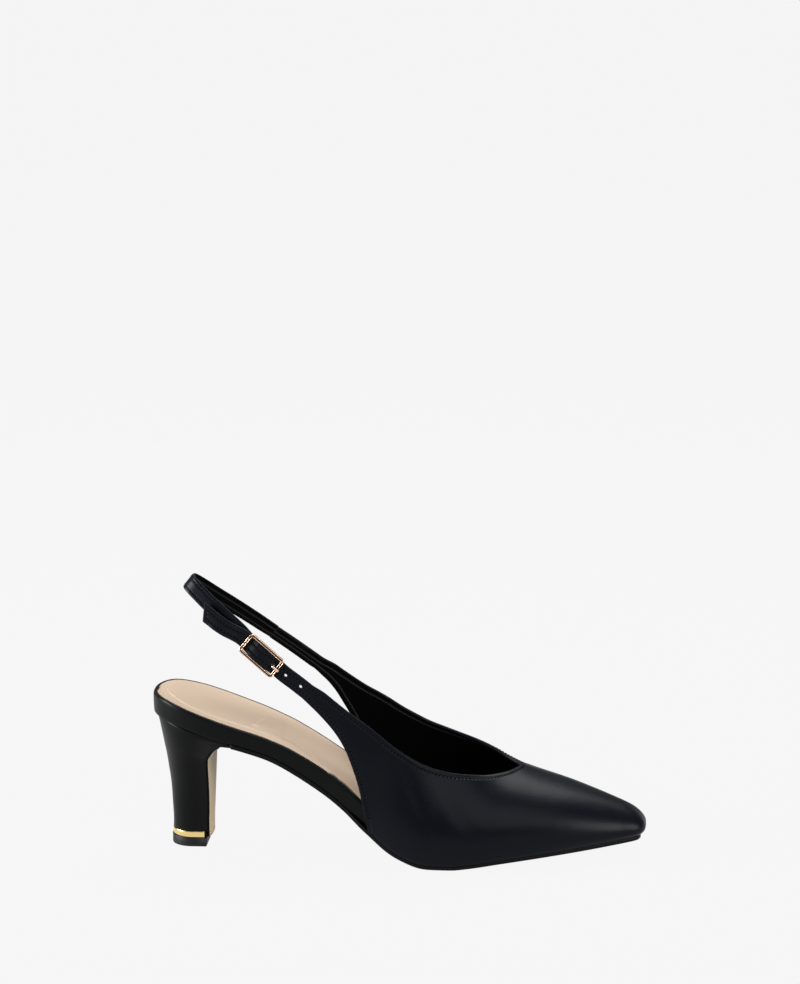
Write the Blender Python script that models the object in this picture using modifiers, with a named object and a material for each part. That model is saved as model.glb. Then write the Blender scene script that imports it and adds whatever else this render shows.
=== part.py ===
"""Slingback pump, a right shoe, as an assembly of the pieces that a shoemaker puts together.

The frame is the shoe's own: +X runs to the toe, +Y to the inner (medial) side, +Z up.
The origin is on the floor, in the middle of the heel's tread.
Lateral is the outer side of the foot (-Y), where the buckle is.
"""
import math

import bmesh
import bpy
import numpy as np
from mathutils import Matrix, Vector

NAME = "slingback_pump"
MM = 0.001

# Main sizes of the shoe
LENGTH = 252.5 * MM          # back of the footbed to the tip of the toe
TREAD_SETBACK = 18.6 * MM    # back of the footbed to the middle of the heel's tread
HEEL_HEIGHT = 70.2 * MM      # floor to the heel seat
TOE_SPRING = 8.8 * MM        # lift of the toe's end above the floor
BALL_WIDTH = 71.3 * MM       # footbed across the ball
SEAT_WIDTH = 55.8 * MM       # footbed across the heel seat
INSTEP_RISE = 38.8 * MM      # point of the throat above the sole
STRAP_RISE = 69.1 * MM       # middle of the strap's loop above the heel seat

# Walls, thicknesses and clearances
GAP = 0.3 * MM               # between pieces that touch
WALL = 1.6 * MM              # leather and lining of the upper
SOLE_THICKNESS = 2.2 * MM
SOLE_CHAMFER = 0.6 * MM
RIM_INSET = 1.9 * MM         # edge of the sock's recess inside the footbed's edge
BED_TUCK = 1.8 * MM          # footbed's foot inside its edge
BED_SWELL = 0.5 * MM         # its side halfway up
RIM_SHOULDER = 0.3 * MM      # start of the rim's curve, inwards
RIM_CROWN = 1.1 * MM         # highest line of the rim, inwards
RIM_DROP = 0.5 * MM          # shoulder of the rim below its crown
SOCK_THICKNESS = 1.0 * MM
SOCK_STAND = 0.5 * MM        # its edge above the footbed's rim
SEAT_DISH = 1.2 * MM         # hollow of the footbed's middle
COVER_THICKNESS = 0.9 * MM   # flap down the heel breast
COVER_INSET = 0.8 * MM       # its edges inside the breast's edges
COVER_END = 0.912            # its upper end, as a share of the heel's height

# Heel
TREAD_LENGTH = 18.7 * MM
TREAD_WIDTH = 19.8 * MM
TOPLIFT_HEIGHT = 4.8 * MM
TOPLIFT_EDGE = 0.5 * MM      # slope round the edge of its tread
TOPLIFT_SHIFT = 0.5 * MM     # behind the heel block's foot
BAND_HEIGHT = 2.9 * MM
BAND_THICKNESS = 0.6 * MM
BAND_SETBACK = 1.6 * MM      # ends of the band behind the heel breast

# Strap and buckle
STRAP_WIDTH = 8.8 * MM
STRAP_THICKNESS = 1.6 * MM
HOLE_DIAMETER = 1.65 * MM
HOLE_PITCH = 9.3 * MM
PRONG_HOLE_WIDENING = 1.1 * MM   # of the hole that holds the prong
PRONG_HOLE = 0.61            # its place, as a share of the way to the toe bar
CUTTER_LENGTH = 8.0 * MM
BUCKLE_LENGTH = 22.2 * MM
BUCKLE_BAR = 1.3 * MM
BUCKLE_THICKNESS = 1.5 * MM
BUCKLE_SOFTENING = 0.22 * MM # of its edges
CENTRE_BAR_DIAMETER = 1.1 * MM
PRONG_DIAMETER = 1.1 * MM

# Underside of the footbed along the shoe: place as a share of LENGTH from the back,
# height as a share of the heel's lift and of the toe spring.
SOLE_LINE = np.array([
    # place, heel, spring
    (0.000, 1.029, 0.000),
    (0.020, 1.014, 0.000),
    (0.045, 0.998, 0.000),
    (0.083, 0.957, 0.000),
    (0.145, 0.885, 0.000),
    (0.190, 0.838, 0.000),
    (0.247, 0.762, 0.000),
    (0.318, 0.610, 0.000),
    (0.381, 0.444, 0.000),
    (0.444, 0.240, 0.000),
    (0.493, 0.094, 0.000),
    (0.525, 0.038, 0.000),
    (0.563, 0.000, 0.000),
    (0.612, 0.000, 0.000),
    (0.648, 0.000, 0.100),
    (0.706, 0.000, 0.320),
    (0.816, 0.000, 0.610),
    (0.927, 0.000, 0.850),
    (1.000, 0.000, 1.000),
])

# Outline of the footbed in plan: half width on each side of the middle line, as a share of
# SEAT_WIDTH on both sides plus a share of BALL_WIDTH on the lateral and the medial side.
# Behind the seat's widest place it is a rounded curve, worked out in seat_back().
SEAT_WIDEST = 0.141
SEAT_ROUNDNESS = 2.3
EDGE_AHEAD = np.array([
    # place, seat, lateral, medial
    (0.191, 0.487, 0.0000, 0.0000),
    (0.247, 0.459, 0.0000, 0.0000),
    (0.303, 0.446, 0.0000, -0.005),
    (0.351, 0.444, 0.0000, -0.006),
    (0.396, 0.400, 0.0490, 0.044),
    (0.433, 0.300, 0.1500, 0.149),
    (0.461, 0.200, 0.2490, 0.254),
    (0.493, 0.100, 0.3600, 0.365),
    (0.525, 0.000, 0.4630, 0.471),
    (0.556, 0.000, 0.4780, 0.494),
    (0.587, 0.000, 0.4850, 0.509),
    (0.617, 0.000, 0.4850, 0.516),
    (0.652, 0.000, 0.4750, 0.515),
    (0.684, 0.000, 0.4590, 0.502),
    (0.715, 0.000, 0.4350, 0.481),
    (0.763, 0.000, 0.3870, 0.438),
    (0.818, 0.000, 0.3210, 0.377),
    (0.874, 0.000, 0.2410, 0.311),
    (0.930, 0.000, 0.1470, 0.237),
    (0.959, 0.000, 0.0940, 0.195),
    (0.9728, 0.000, 0.0645, 0.170),
    (0.9798, 0.000, 0.0420, 0.152),
    (0.9834, 0.000, 0.0100, 0.118),
])
LATERAL_CORNER = 0.446       # rear corner of the upper's lower edge
MEDIAL_CORNER = 0.434
NOSE_END = 0.957             # where the nose turns into the side of the toe
VAMP_END = 0.748             # lower edge below the throat

# Height of the footbed's edge above its underside, as a share of BED_HEIGHT.
BED_HEIGHT = 10.2 * MM
BED = np.array([
    # place, height
    (0.000, 0.962),
    (0.028, 1.043),
    (0.055, 1.010),
    (0.100, 0.990),
    (0.145, 0.950),
    (0.190, 0.885),
    (0.247, 0.870),
    (0.285, 0.940),
    (0.330, 0.995),
    (0.380, 1.050),
    (0.430, 1.110),
    (0.490, 0.800),
    (0.550, 0.600),
    (0.700, 0.460),
    (1.000, 0.400),
])

# Ridge of the vamp from the toe's pole to the throat, then the topline back to the strap:
# place, sideways as a share of BALL_WIDTH, height above the sole as a share of INSTEP_RISE.
RIDGE = np.array([
    # place, side, rise
    (0.941, 0.056, 0.455),
    (0.909, 0.056, 0.551),
    (0.876, 0.056, 0.645),
    (0.842, 0.056, 0.738),
    (0.806, 0.057, 0.830),
    (0.775, 0.058, 0.914),
    (0.747, 0.060, 1.000),
])
TOPLINE = {
    "lateral": np.array([
        (0.721, -0.090, 1.010),
        (0.688, -0.198, 1.042),
        (0.652, -0.271, 1.107),
        (0.616, -0.317, 1.170),
        (0.583, -0.350, 1.235),
        (0.553, -0.373, 1.310),
        (0.525, -0.387, 1.362),
        (0.497, -0.397, 1.405),
        (0.472, -0.401, 1.427),
        (0.448, -0.401, 1.419),
        (0.425, -0.397, 1.390),
        (0.402, -0.390, 1.362),
        (0.379, -0.383, 1.352),
        (0.355, -0.374, 1.353),
    ]),
    "medial": np.array([
        (0.721, 0.155, 1.062),
        (0.688, 0.236, 1.170),
        (0.652, 0.303, 1.272),
        (0.616, 0.348, 1.358),
        (0.583, 0.379, 1.420),
        (0.553, 0.396, 1.474),
        (0.525, 0.404, 1.502),
        (0.497, 0.408, 1.513),
        (0.472, 0.408, 1.503),
        (0.448, 0.404, 1.462),
        (0.425, 0.398, 1.414),
        (0.402, 0.391, 1.378),
        (0.379, 0.381, 1.360),
        (0.355, 0.369, 1.358),
    ]),
}
# Rear edge of each quarter, from the corner at the sole up to the strap.
BACK_EDGE = {
    "lateral": np.array([
        (0.4375, -0.436, 0.215),
        (0.4295, -0.440, 0.450),
        (0.4165, -0.435, 0.658),
        (0.3985, -0.421, 0.841),
        (0.3765, -0.405, 0.944),
        (0.3510, -0.394, 1.007),
    ]),
    "medial": np.array([
        (0.4275, 0.429, 0.195),
        (0.4205, 0.432, 0.385),
        (0.4085, 0.426, 0.578),
        (0.3915, 0.415, 0.749),
        (0.3725, 0.401, 0.883),
        (0.3500, 0.388, 1.023),
    ]),
}

# Where the topline turns up towards the strap, as a share of the length.
KNEE = {"lateral": 0.497, "medial": 0.490}

# How each cross-section bends, keyed by its position along the upper: 0 toe, 1 end of the nose,
# 2 throat, 3 corner at the sole, 4 start of the strap. Angles are in degrees, pulls are shares
# of the section's chord.
SHAPE = {
    "lateral": np.array([
        # position, flare, low_pull, lean, high_pull
        (0.0, 60.0, 0.38, 0.0, 0.46),
        (0.5, 54.0, 0.38, 0.0, 0.46),
        (1.0, 46.0, 0.37, 0.0, 0.48),
        (1.5, 30.0, 0.40, 0.0, 0.50),
        (2.0, 20.0, 0.42, 6.0, 0.44),
        (2.3, 18.0, 0.42, 30.0, 0.36),
        (2.6, 16.0, 0.40, 58.0, 0.34),
        (3.0, 12.0, 0.36, 78.0, 0.34),
        (3.5, 6.0, 0.33, 84.0, 0.33),
        (4.0, 2.0, 0.33, 88.0, 0.33),
    ]),
    "medial": np.array([
        (0.0, 60.0, 0.38, 0.0, 0.46),
        (0.5, 54.0, 0.38, 0.0, 0.46),
        (1.0, 44.0, 0.37, 0.0, 0.48),
        (1.5, 28.0, 0.40, 0.0, 0.50),
        (2.0, 16.0, 0.42, 6.0, 0.48),
        (2.3, 13.0, 0.42, 26.0, 0.42),
        (2.6, 11.0, 0.40, 54.0, 0.36),
        (3.0, 9.0, 0.36, 76.0, 0.34),
        (3.5, 6.0, 0.33, 84.0, 0.33),
        (4.0, 2.0, 0.33, 88.0, 0.33),
    ]),
}
NOSE_STEPS, VAMP_STEPS, COLLAR_STEPS, QUARTER_STEPS, WING_STEPS, TAB_STEPS = 7, 7, 10, 10, 4, 36
CROSS_STEPS = 10

# Heel block: height as a share of the way from the band up to the seat; its back, the place
# where the round back turns into the sides, and its breast as shares of TREAD_LENGTH; half
# width as a share of TREAD_WIDTH.
HEEL = np.array([
    # height, back, turn, breast, half_width
    (0.00, -0.503, 0.077, 0.497, 0.500),
    (0.06, -0.497, 0.080, 0.497, 0.510),
    (0.22, -0.519, 0.080, 0.513, 0.556),
    (0.37, -0.545, 0.075, 0.524, 0.646),
    (0.56, -0.620, 0.050, 0.529, 0.818),
    (0.66, -0.668, 0.045, 0.533, 0.925),
    (0.73, -0.713, 0.055, 0.549, 1.010),
    (0.80, -0.755, 0.085, 0.642, 1.101),
    (0.86, -0.795, 0.130, 0.749, 1.172),
    (0.905, -0.825, 0.180, 0.866, 1.222),
    (0.934, -0.847, 0.230, 1.016, 1.252),
    (0.958, -0.867, 0.280, 1.290, 1.274),
    (1.00, -0.900, 0.376, 1.300, 1.300),
])
HEEL_FLARE_STEPS = [0.73, 0.77, 0.80, 0.83, 0.86, 0.885, 0.905, 0.922, 0.934, 0.947, 0.958]
HEEL_ARC_STEPS = 18
HEEL_CORNER = 0.97           # half width at the breast, as a share of the widest

# Strap paths in the strap's own plane: forward from the back of the loop as a share of the
# distance to the strap's root, sideways as a share of SEAT_WIDTH, down across the strap as a
# share of STRAP_WIDTH, and the lean of its upper edge towards the foot in degrees.
ROOT_PLACE = 0.3295
ROOT_RISE = 1.245
SLING = np.array([
    # forward, side, drop, lean
    (0.540, 0.389, 0.17, 18.0),
    (0.463, 0.346, 0.14, 16.0),
    (0.317, 0.260, 0.10, 11.0),
    (0.195, 0.186, 0.08, 8.0),
    (0.097, 0.125, 0.05, 5.0),
    (0.039, 0.082, 0.03, 3.0),
    (0.014, 0.047, 0.02, 1.0),
    (0.004, 0.000, 0.02, 0.0),
    (0.014, -0.047, 0.01, 0.0),
    (0.039, -0.080, 0.01, 0.0),
    (0.097, -0.120, 0.03, 0.0),
    (0.195, -0.176, 0.06, 0.0),
    (0.317, -0.238, 0.06, 0.0),
    (0.438, -0.298, 0.06, 0.0),
])
WING = np.array([
    # forward, side, drop, lean
    (1.000, 0.466, 0.10, 21.0),
    (0.800, 0.442, 0.12, 28.0),
    (0.640, 0.412, 0.14, 24.0),
])
ROOT_SIDE = 0.466
SLING_STEPS = 66

# Buckle: middle of each bar along the strap's plane, and the side of its middle plane.
BUCKLE_PLACE = 0.631
BUCKLE_SIDE = 0.416
BUCKLE_DROP = 0.190
BUCKLE_TURN = math.radians(7.4)     # towards the shoe's middle line, going back
BUCKLE_TILT = math.radians(-2.0)

# End of the outer strap past the buckle
TAIL_MIDDLE = (0.350, 0.306, 0.42)
TAIL_END = (0.155, 0.240, 0.57)
TAIL_SLANT = 0.62            # of STRAP_WIDTH, lower corner ahead of the upper

# Colour, metallic and roughness of each material
FINISH = {
    "upper_leather": ((0.012, 0.014, 0.022, 1.0), 0.0, 0.38),
    "cover_leather": ((0.010, 0.011, 0.012, 1.0), 0.0, 0.32),
    "sole_edge": ((0.010, 0.010, 0.010, 1.0), 0.0, 0.45),
    "sock_lining": ((0.60, 0.46, 0.33, 1.0), 0.0, 0.55),
    "breast_cover": ((0.52, 0.38, 0.23, 1.0), 0.0, 0.50),
    "heel_rubber": ((0.012, 0.012, 0.012, 1.0), 0.0, 0.55),
    "gold_metal": ((0.78, 0.58, 0.22, 1.0), 1.0, 0.22),
    "buckle_metal": ((0.86, 0.66, 0.50, 1.0), 1.0, 0.16),
}


def clear_scene():
    """Remove what the scene holds and return the collections for the parts and the cutters."""
    for item in list(bpy.data.objects):
        bpy.data.objects.remove(item, do_unlink=True)
    groups = []
    for name in (NAME, "cutters"):
        group = bpy.data.collections.new(name)
        bpy.context.scene.collection.children.link(group)
        groups.append(group)
    return groups


PARTS, CUTTERS = clear_scene()


def finish(name):
    """Make the Principled material of that name once and return it."""
    found = bpy.data.materials.get(name)
    if found:
        return found
    colour, metallic, roughness = FINISH[name]
    made = bpy.data.materials.new(name)
    made.use_nodes = True
    made.diffuse_color = colour
    shader = made.node_tree.nodes["Principled BSDF"]
    shader.inputs["Base Color"].default_value = colour
    shader.inputs["Metallic"].default_value = metallic
    shader.inputs["Roughness"].default_value = roughness
    return made


def put(name, points, faces, material, closed=True):
    """Make an object of points and faces, with its normals turned outwards when it is closed."""
    mesh = bpy.data.meshes.new(name)
    mesh.from_pydata([tuple(point) for point in points], [], faces)
    shape = bmesh.new()
    shape.from_mesh(mesh)
    bmesh.ops.remove_doubles(shape, verts=shape.verts, dist=0.01 * MM)
    if closed:
        bmesh.ops.recalc_face_normals(shape, faces=shape.faces)
    shape.to_mesh(mesh)
    shape.free()
    mesh.shade_smooth()
    mesh.set_sharp_from_angle(angle=math.radians(35))
    made = bpy.data.objects.new(name, mesh)
    made.data.materials.append(finish(material))
    PARTS.objects.link(made)
    return made


def add_wall(item, thickness):
    """Give an open surface its wall, inwards from the surface."""
    wall = item.modifiers.new("wall", "SOLIDIFY")
    wall.thickness = thickness
    wall.offset = -1.0
    wall.use_even_offset = True
    wall.use_quality_normals = True


def smooth(keys, values, at):
    """Monotone cubic through rows of values, each at its key, read at the given places."""
    keys = np.asarray(keys, float)
    values = np.asarray(values, float)
    flat = values.ndim == 1
    values = values[:, None] if flat else values
    at = np.atleast_1d(np.asarray(at, float))
    step = np.diff(keys)[:, None]
    rate = np.diff(values, axis=0) / step
    before, after = rate[:-1], rate[1:]
    same_way = before * after > 0
    safe_before = np.where(same_way, before, 1.0)
    safe_after = np.where(same_way, after, 1.0)
    weight_a = 2 * step[1:] + step[:-1]
    weight_b = step[1:] + 2 * step[:-1]
    mean = (weight_a + weight_b) / (weight_a / safe_before + weight_b / safe_after)
    slope = np.vstack([rate[:1], np.where(same_way, mean, 0.0), rate[-1:]])
    index = np.clip(np.searchsorted(keys, at, side="right") - 1, 0, len(keys) - 2)
    width = step[index]
    t = (at - keys[index])[:, None] / width
    result = ((1 + 2 * t) * (1 - t) ** 2 * values[index] + t * (1 - t) ** 2 * width * slope[index]
              + t * t * (3 - 2 * t) * values[index + 1]
              + t * t * (t - 1) * width * slope[index + 1])
    return result[:, 0] if flat else result


def unit(vectors):
    """Vectors along the last axis, each made one long."""
    vectors = np.asarray(vectors, float)
    return vectors / np.linalg.norm(vectors, axis=-1, keepdims=True)


def seat_back():
    """Rows of the footbed's outline round the back of the seat: a rounded half ellipse."""
    angle = np.radians([3, 9, 16, 24, 33, 43, 54, 66, 78, 90])
    power = 2 / SEAT_ROUNDNESS
    place = SEAT_WIDEST * (1 - np.cos(angle).clip(0) ** power)
    seat = 0.5 * np.sin(angle) ** power
    return np.column_stack([place, seat, np.zeros(len(angle)), np.zeros(len(angle))])


def lengths(points):
    """Distance travelled along a line of points, from 0 to 1."""
    steps = np.linalg.norm(np.diff(points, axis=0), axis=1)
    travelled = np.concatenate([[0.0], np.cumsum(steps)])
    return travelled / travelled[-1]


def through(points, count):
    """A smooth line through a few points, as count steps of about one length."""
    points = np.asarray(points, float)
    fine = smooth(lengths(points), points, np.linspace(0, 1, 12 * len(points)))
    return even(fine, count)


def even(points, count):
    """A line of points laid out again in count equal steps."""
    key = lengths(points)
    at = np.linspace(0, 1, count + 1)
    return np.stack([np.interp(at, key, points[:, axis]) for axis in range(points.shape[1])], -1)


def along(place):
    """Distance along X of a place given as a share of the length."""
    return np.asarray(place) * LENGTH - TREAD_SETBACK


def place_of(x):
    """Share of the length at a distance along X."""
    return (np.asarray(x) + TREAD_SETBACK) / LENGTH


def sole_top(x):
    """Height of the sole's upper face, where the footbed and the upper stand on it."""
    heel, spring = smooth(SOLE_LINE[:, 0], SOLE_LINE[:, 1:], place_of(x)).T
    return SOLE_THICKNESS + heel * (HEEL_HEIGHT - SOLE_THICKNESS) + spring * TOE_SPRING


def sole_bottom(x):
    """Height of the sole's underside: the upper face, less the thickness square to it."""
    reach = 0.5 * MM
    slope = (sole_top(x + reach) - sole_top(x - reach)) / (2 * reach)
    return sole_top(x) - SOLE_THICKNESS * np.sqrt(1 + slope ** 2)


def bed_height(x):
    """Height of the footbed's edge above its underside."""
    return BED_HEIGHT * smooth(BED[:, 0], BED[:, 1], place_of(x))


EDGE = np.vstack([seat_back(), EDGE_AHEAD])


def edge_ring(start, stop, steps, outset=0.0):
    """Footbed's outline from place start to stop as a closed ring: lateral side, then medial back.

    outset moves each point square to the outline, outwards when positive.
    """
    row = np.arange(len(EDGE))
    first, last = np.interp([start, stop], EDGE[:, 0], row)
    at = np.interp(np.linspace(first, last, steps + 1), row, EDGE[:, 0])
    seat, lateral, medial = smooth(EDGE[:, 0], EDGE[:, 1:], at).T
    x = along(at)
    outer = np.stack([x, -(seat * SEAT_WIDTH + lateral * BALL_WIDTH)], -1)
    inner = np.stack([x, seat * SEAT_WIDTH + medial * BALL_WIDTH], -1)
    ring = np.concatenate([outer, inner[::-1]])
    back, ahead = np.roll(ring, 1, axis=0), np.roll(ring, -1, axis=0)
    chord = unit(unit(ahead - ring) + unit(ring - back))
    square = np.stack([chord[:, 1], -chord[:, 0]], -1)
    return ring + square * np.asarray(outset).reshape(-1, 1)


def slab(name, rings, material, dish=0.0):
    """Closed solid of rings of points, lowest first, filled across between its two sides.

    Each ring runs up the lateral side and back down the medial side. dish lowers a line along
    the middle of the upper face.
    """
    size = len(rings[0])
    half = size // 2
    points = list(np.concatenate(rings))
    faces = []
    for level in range(len(rings) - 1):
        low, high = level * size, (level + 1) * size
        for i in range(size):
            j = (i + 1) % size
            faces.append((low + i, low + j, high + j, high + i))
    for i in range(half - 1):
        faces.append((i, size - 1 - i, size - 2 - i, i + 1))
    top = (len(rings) - 1) * size
    if not dish:
        for i in range(half - 1):
            faces.append((top + i, top + i + 1, top + size - 2 - i, top + size - 1 - i))
        return put(name, points, faces, material)
    upper = rings[-1]
    middle = 0.5 * (upper[:half] + upper[:half - 1:-1])
    middle[:, 2] -= dish
    base = len(points)
    points.extend(middle)
    for i in range(half - 1):
        faces.append((top + i, top + i + 1, base + i + 1, base + i))
        far, near = top + size - 1 - i, top + size - 2 - i
        faces.append((base + i, base + i + 1, near, far))
    faces.append((top, base, top + size - 1))
    faces.append((top + half - 1, top + half, base + half - 1))
    return put(name, points, faces, material)


def lift(ring, height):
    """A flat ring with its heights: a number, an array, or a function of x."""
    z = height(ring[:, 0]) if callable(height) else np.broadcast_to(height, len(ring))
    return np.column_stack([ring, z])


def step_between(x, start, stop):
    """0 before start, 1 after stop, smooth between them."""
    t = np.clip((x - start) / (stop - start), 0, 1)
    return t * t * (3 - 2 * t)


def make_outsole():
    """Thin sole from the heel breast to the toe, wider by the upper's wall where that stands on it."""
    steps = 34
    heel_front = heel_sizes([1.0])[2][0]
    start, stop = float(place_of(heel_front + GAP)), EDGE[-1, 0]

    def outset(extra):
        ring = edge_ring(start, stop, steps)
        shoulder = along(np.array([LATERAL_CORNER - 0.05, LATERAL_CORNER - 0.01]))
        return step_between(ring[:, 0], *shoulder) * WALL + extra

    low = edge_ring(start, stop, steps, outset(-SOLE_CHAMFER))
    side = edge_ring(start, stop, steps, outset(0.0))
    rings = [lift(low, sole_bottom),
             lift(side, lambda x: sole_bottom(x) + SOLE_CHAMFER),
             lift(side, sole_top)]
    return slab("outsole", rings, "sole_edge")


def make_footbed():
    """Wrapped and padded insole board: crowned side, and a rim round the recess for the sock."""
    steps = 44
    recess = SOCK_THICKNESS + GAP - SOCK_STAND
    start, stop = EDGE[0, 0], EDGE[-1, 0]
    ring = [edge_ring(start, stop, steps, -inset)
            for inset in (BED_TUCK, BED_SWELL, 0.0, RIM_SHOULDER, RIM_CROWN, RIM_INSET, RIM_INSET)]
    levels = [
        lambda x: sole_top(x) + GAP,
        lambda x: sole_top(x) + 0.45 * bed_height(x),
        lambda x: sole_top(x) + 0.82 * bed_height(x),
        lambda x: sole_top(x) + bed_height(x) - RIM_DROP,
        lambda x: sole_top(x) + bed_height(x),
        lambda x: sole_top(x) + bed_height(x) - 0.2 * RIM_DROP,
        lambda x: sole_top(x) + bed_height(x) - recess,
    ]
    rings = [lift(flat, level) for flat, level in zip(ring, levels)]
    return slab("footbed", rings, "cover_leather", dish=SEAT_DISH)


def make_sock():
    """Insole sock in the footbed's recess, standing a little above the rim."""
    steps = 40
    flat = edge_ring(EDGE[0, 0], EDGE[-1, 0], steps, -(RIM_INSET + GAP))
    base = lift(flat, lambda x: sole_top(x) + bed_height(x) - SOCK_THICKNESS + SOCK_STAND)
    top = base + np.array([0.0, 0.0, SOCK_THICKNESS])
    half = len(flat) // 2
    points = []
    rows = []
    for face in (base, top):
        outer, inner = face[:half], face[:half - 1:-1]
        middle = 0.5 * (outer + inner)
        middle[:, 2] -= SEAT_DISH
        for line in (outer, middle, inner):
            rows.append(len(points))
            points.extend(line)
    low, low_mid, low_in, high, high_mid, high_in = rows
    faces = []
    for i in range(half - 1):
        for a, b in ((low, low_mid), (low_mid, low_in), (high, high_mid), (high_mid, high_in),
                     (low, high), (low_in, high_in)):
            faces.append((a + i, a + i + 1, b + i + 1, b + i))
    for i in (0, half - 1):
        faces.append((low + i, low_mid + i, high_mid + i, high + i))
        faces.append((low_mid + i, low_in + i, high_in + i, high_mid + i))
    return put("sock", points, faces, "sock_lining")


def heel_section(height, inset=0.0):
    """D-shaped outline from the medial breast corner round the back to the lateral corner.

    The sides run back from the breast and turn into a half ellipse.
    """
    back, turn, breast, half = [float(size[0]) for size in heel_sizes([height])]
    back, half = back + inset, half - inset
    angle = np.radians(np.linspace(90, -90, HEEL_ARC_STEPS + 1))
    arc = np.stack([turn - (turn - back) * np.cos(angle), half * np.sin(angle)], -1)
    corner = np.array([[breast, HEEL_CORNER * half]])
    return np.concatenate([corner, arc, corner * [1, -1]])


def heel_sizes(height):
    """Back, turn, breast and half width of the heel at shares of its height, as real lengths."""
    sizes = np.array([TREAD_LENGTH, TREAD_LENGTH, TREAD_LENGTH, TREAD_WIDTH])
    return (smooth(HEEL[:, 0], HEEL[:, 1:], height) * sizes).T


def band_top():
    """Height of the heel block's shoulder above the gold band."""
    return TOPLIFT_HEIGHT + BAND_HEIGHT + 3 * GAP


def heel_point_height(x, height):
    """Height above the floor at x of a share of the way from the band up to the seat."""
    return band_top() + height * (sole_top(x) - GAP - band_top())


def make_heel():
    """Covered heel block, lofted from its foot to the sloping seat, with a recess for the band."""
    heights = np.concatenate([np.linspace(0, 0.66, 9), HEEL_FLARE_STEPS, [1.0]])
    recess = BAND_THICKNESS + GAP
    rings = []
    for z in (TOPLIFT_HEIGHT + GAP, band_top() - 0.1 * MM):
        rings.append(lift(heel_section(0.0, inset=recess), z))
    for height in heights:
        flat = heel_section(height)
        rings.append(lift(flat, lambda x, h=height: heel_point_height(x, h)))
    return loft("heel", rings, "cover_leather")


def loft(name, rings, material):
    """Closed solid of closed rings of one size, with its ends filled."""
    size = len(rings[0])
    points = np.concatenate(rings)
    faces = []
    for level in range(len(rings) - 1):
        low, high = level * size, (level + 1) * size
        for i in range(size):
            j = (i + 1) % size
            faces.append((low + i, low + j, high + j, high + i))
    faces.append(tuple(range(size)))
    faces.append(tuple(range(len(points) - size, len(points))))
    return put(name, points, faces, material)


def make_toplift():
    """Top piece that the heel stands on."""
    outline = heel_section(0.0) - np.array([TOPLIFT_SHIFT, 0.0])
    middle = outline.mean(axis=0)
    worn = middle + (outline - middle) * (1 - 2 * TOPLIFT_EDGE / TREAD_LENGTH)
    rings = [lift(worn, 0.0), lift(outline, TOPLIFT_EDGE), lift(outline, TOPLIFT_HEIGHT)]
    return loft("toplift", rings, "heel_rubber")


def make_heel_band():
    """Metal band round the back and sides of the heel's foot, open at the breast."""
    line = heel_section(0.0)
    line[[0, -1], 0] -= BAND_SETBACK
    low, high = TOPLIFT_HEIGHT + 1.5 * GAP, TOPLIFT_HEIGHT + 1.5 * GAP + BAND_HEIGHT
    points = np.concatenate([lift(line, low), lift(line, high)])
    size = len(line)
    faces = [(i, i + 1, size + i + 1, size + i) for i in range(size - 1)]
    band = put("heel_band", points, faces, "gold_metal", closed=False)
    add_wall(band, BAND_THICKNESS)
    return band


def make_breast_cover():
    """Flap of sole leather down the flat front of the heel, just inside its edges."""
    flare = [height for height in HEEL_FLARE_STEPS if height < COVER_END]
    heights = np.concatenate([np.linspace(0.0, 0.66, 6), flare, [COVER_END]])
    _, _, breast, half = heel_sizes(heights)
    z = heel_point_height(breast, heights)
    z[0] = TOPLIFT_HEIGHT + 2 * GAP
    rows = []
    for share in (-1, -1 / 3, 1 / 3, 1):
        y = share * (HEEL_CORNER * half - COVER_INSET)
        rows.append(np.stack([breast, y, z], -1))
    slope = unit(np.gradient(rows[0], axis=0))
    square = np.stack([slope[:, 2], np.zeros(len(slope)), -slope[:, 0]], -1)
    points = np.concatenate([row + square * (GAP + COVER_THICKNESS) for row in rows])
    size = len(heights)
    faces = []
    for column in range(len(rows) - 1):
        for i in range(size - 1):
            a, b = column * size + i, (column + 1) * size + i
            faces.append((a, b, b + 1, a + 1))
    cover = put("breast_cover", points, faces, "breast_cover", closed=False)
    add_wall(cover, COVER_THICKNESS)
    return cover


def strap_frame():
    """Middle of the loop's back, direction forward down the strap, and direction across it."""
    apex = np.array([0.0, 0.0, HEEL_HEIGHT + STRAP_RISE])
    x = along(ROOT_PLACE)
    root = np.array([x, 0.0, sole_top(x)[0] + ROOT_RISE * INSTEP_RISE])
    reach = np.linalg.norm(root - apex)
    forward = (root - apex) / reach
    across = np.array([-forward[2], 0.0, forward[0]])
    return apex, forward, across, reach


APEX, FORWARD, ACROSS, REACH = strap_frame()


def on_strap(rows):
    """World points of rows (forward, side, drop) in the strap's plane."""
    rows = np.atleast_2d(rows)
    return (APEX + rows[:, :1] * REACH * FORWARD - rows[:, 2:3] * STRAP_WIDTH * ACROSS
            + rows[:, 1:2] * SEAT_WIDTH * np.array([0.0, 1.0, 0.0]))


def buckle_frame():
    """Middle of the buckle, direction along it to the toe, across it, and outwards."""
    middle = on_strap([(BUCKLE_PLACE, -BUCKLE_SIDE, BUCKLE_DROP)])[0]
    flat = (math.cos(BUCKLE_TURN) * FORWARD - math.sin(BUCKLE_TURN) * np.array([0.0, 1.0, 0.0]))
    long = unit(math.cos(BUCKLE_TILT) * flat + math.sin(BUCKLE_TILT) * ACROSS)
    outward = unit(np.cross(long, ACROSS))
    outward = outward if outward[1] < 0 else -outward
    across = unit(np.cross(outward, long))
    across = across if across[2] > 0 else -across
    return middle, long, across, outward


def in_buckle(rows):
    """World points of rows (along, out) in the buckle's middle plane, as real lengths."""
    middle, long, _, outward = buckle_frame()
    return np.array([middle + a * long + n * outward for a, n in rows])


def bar_reach():
    """From the buckle's middle to the middle of an end bar."""
    return 0.5 * (BUCKLE_LENGTH - BUCKLE_BAR)


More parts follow.
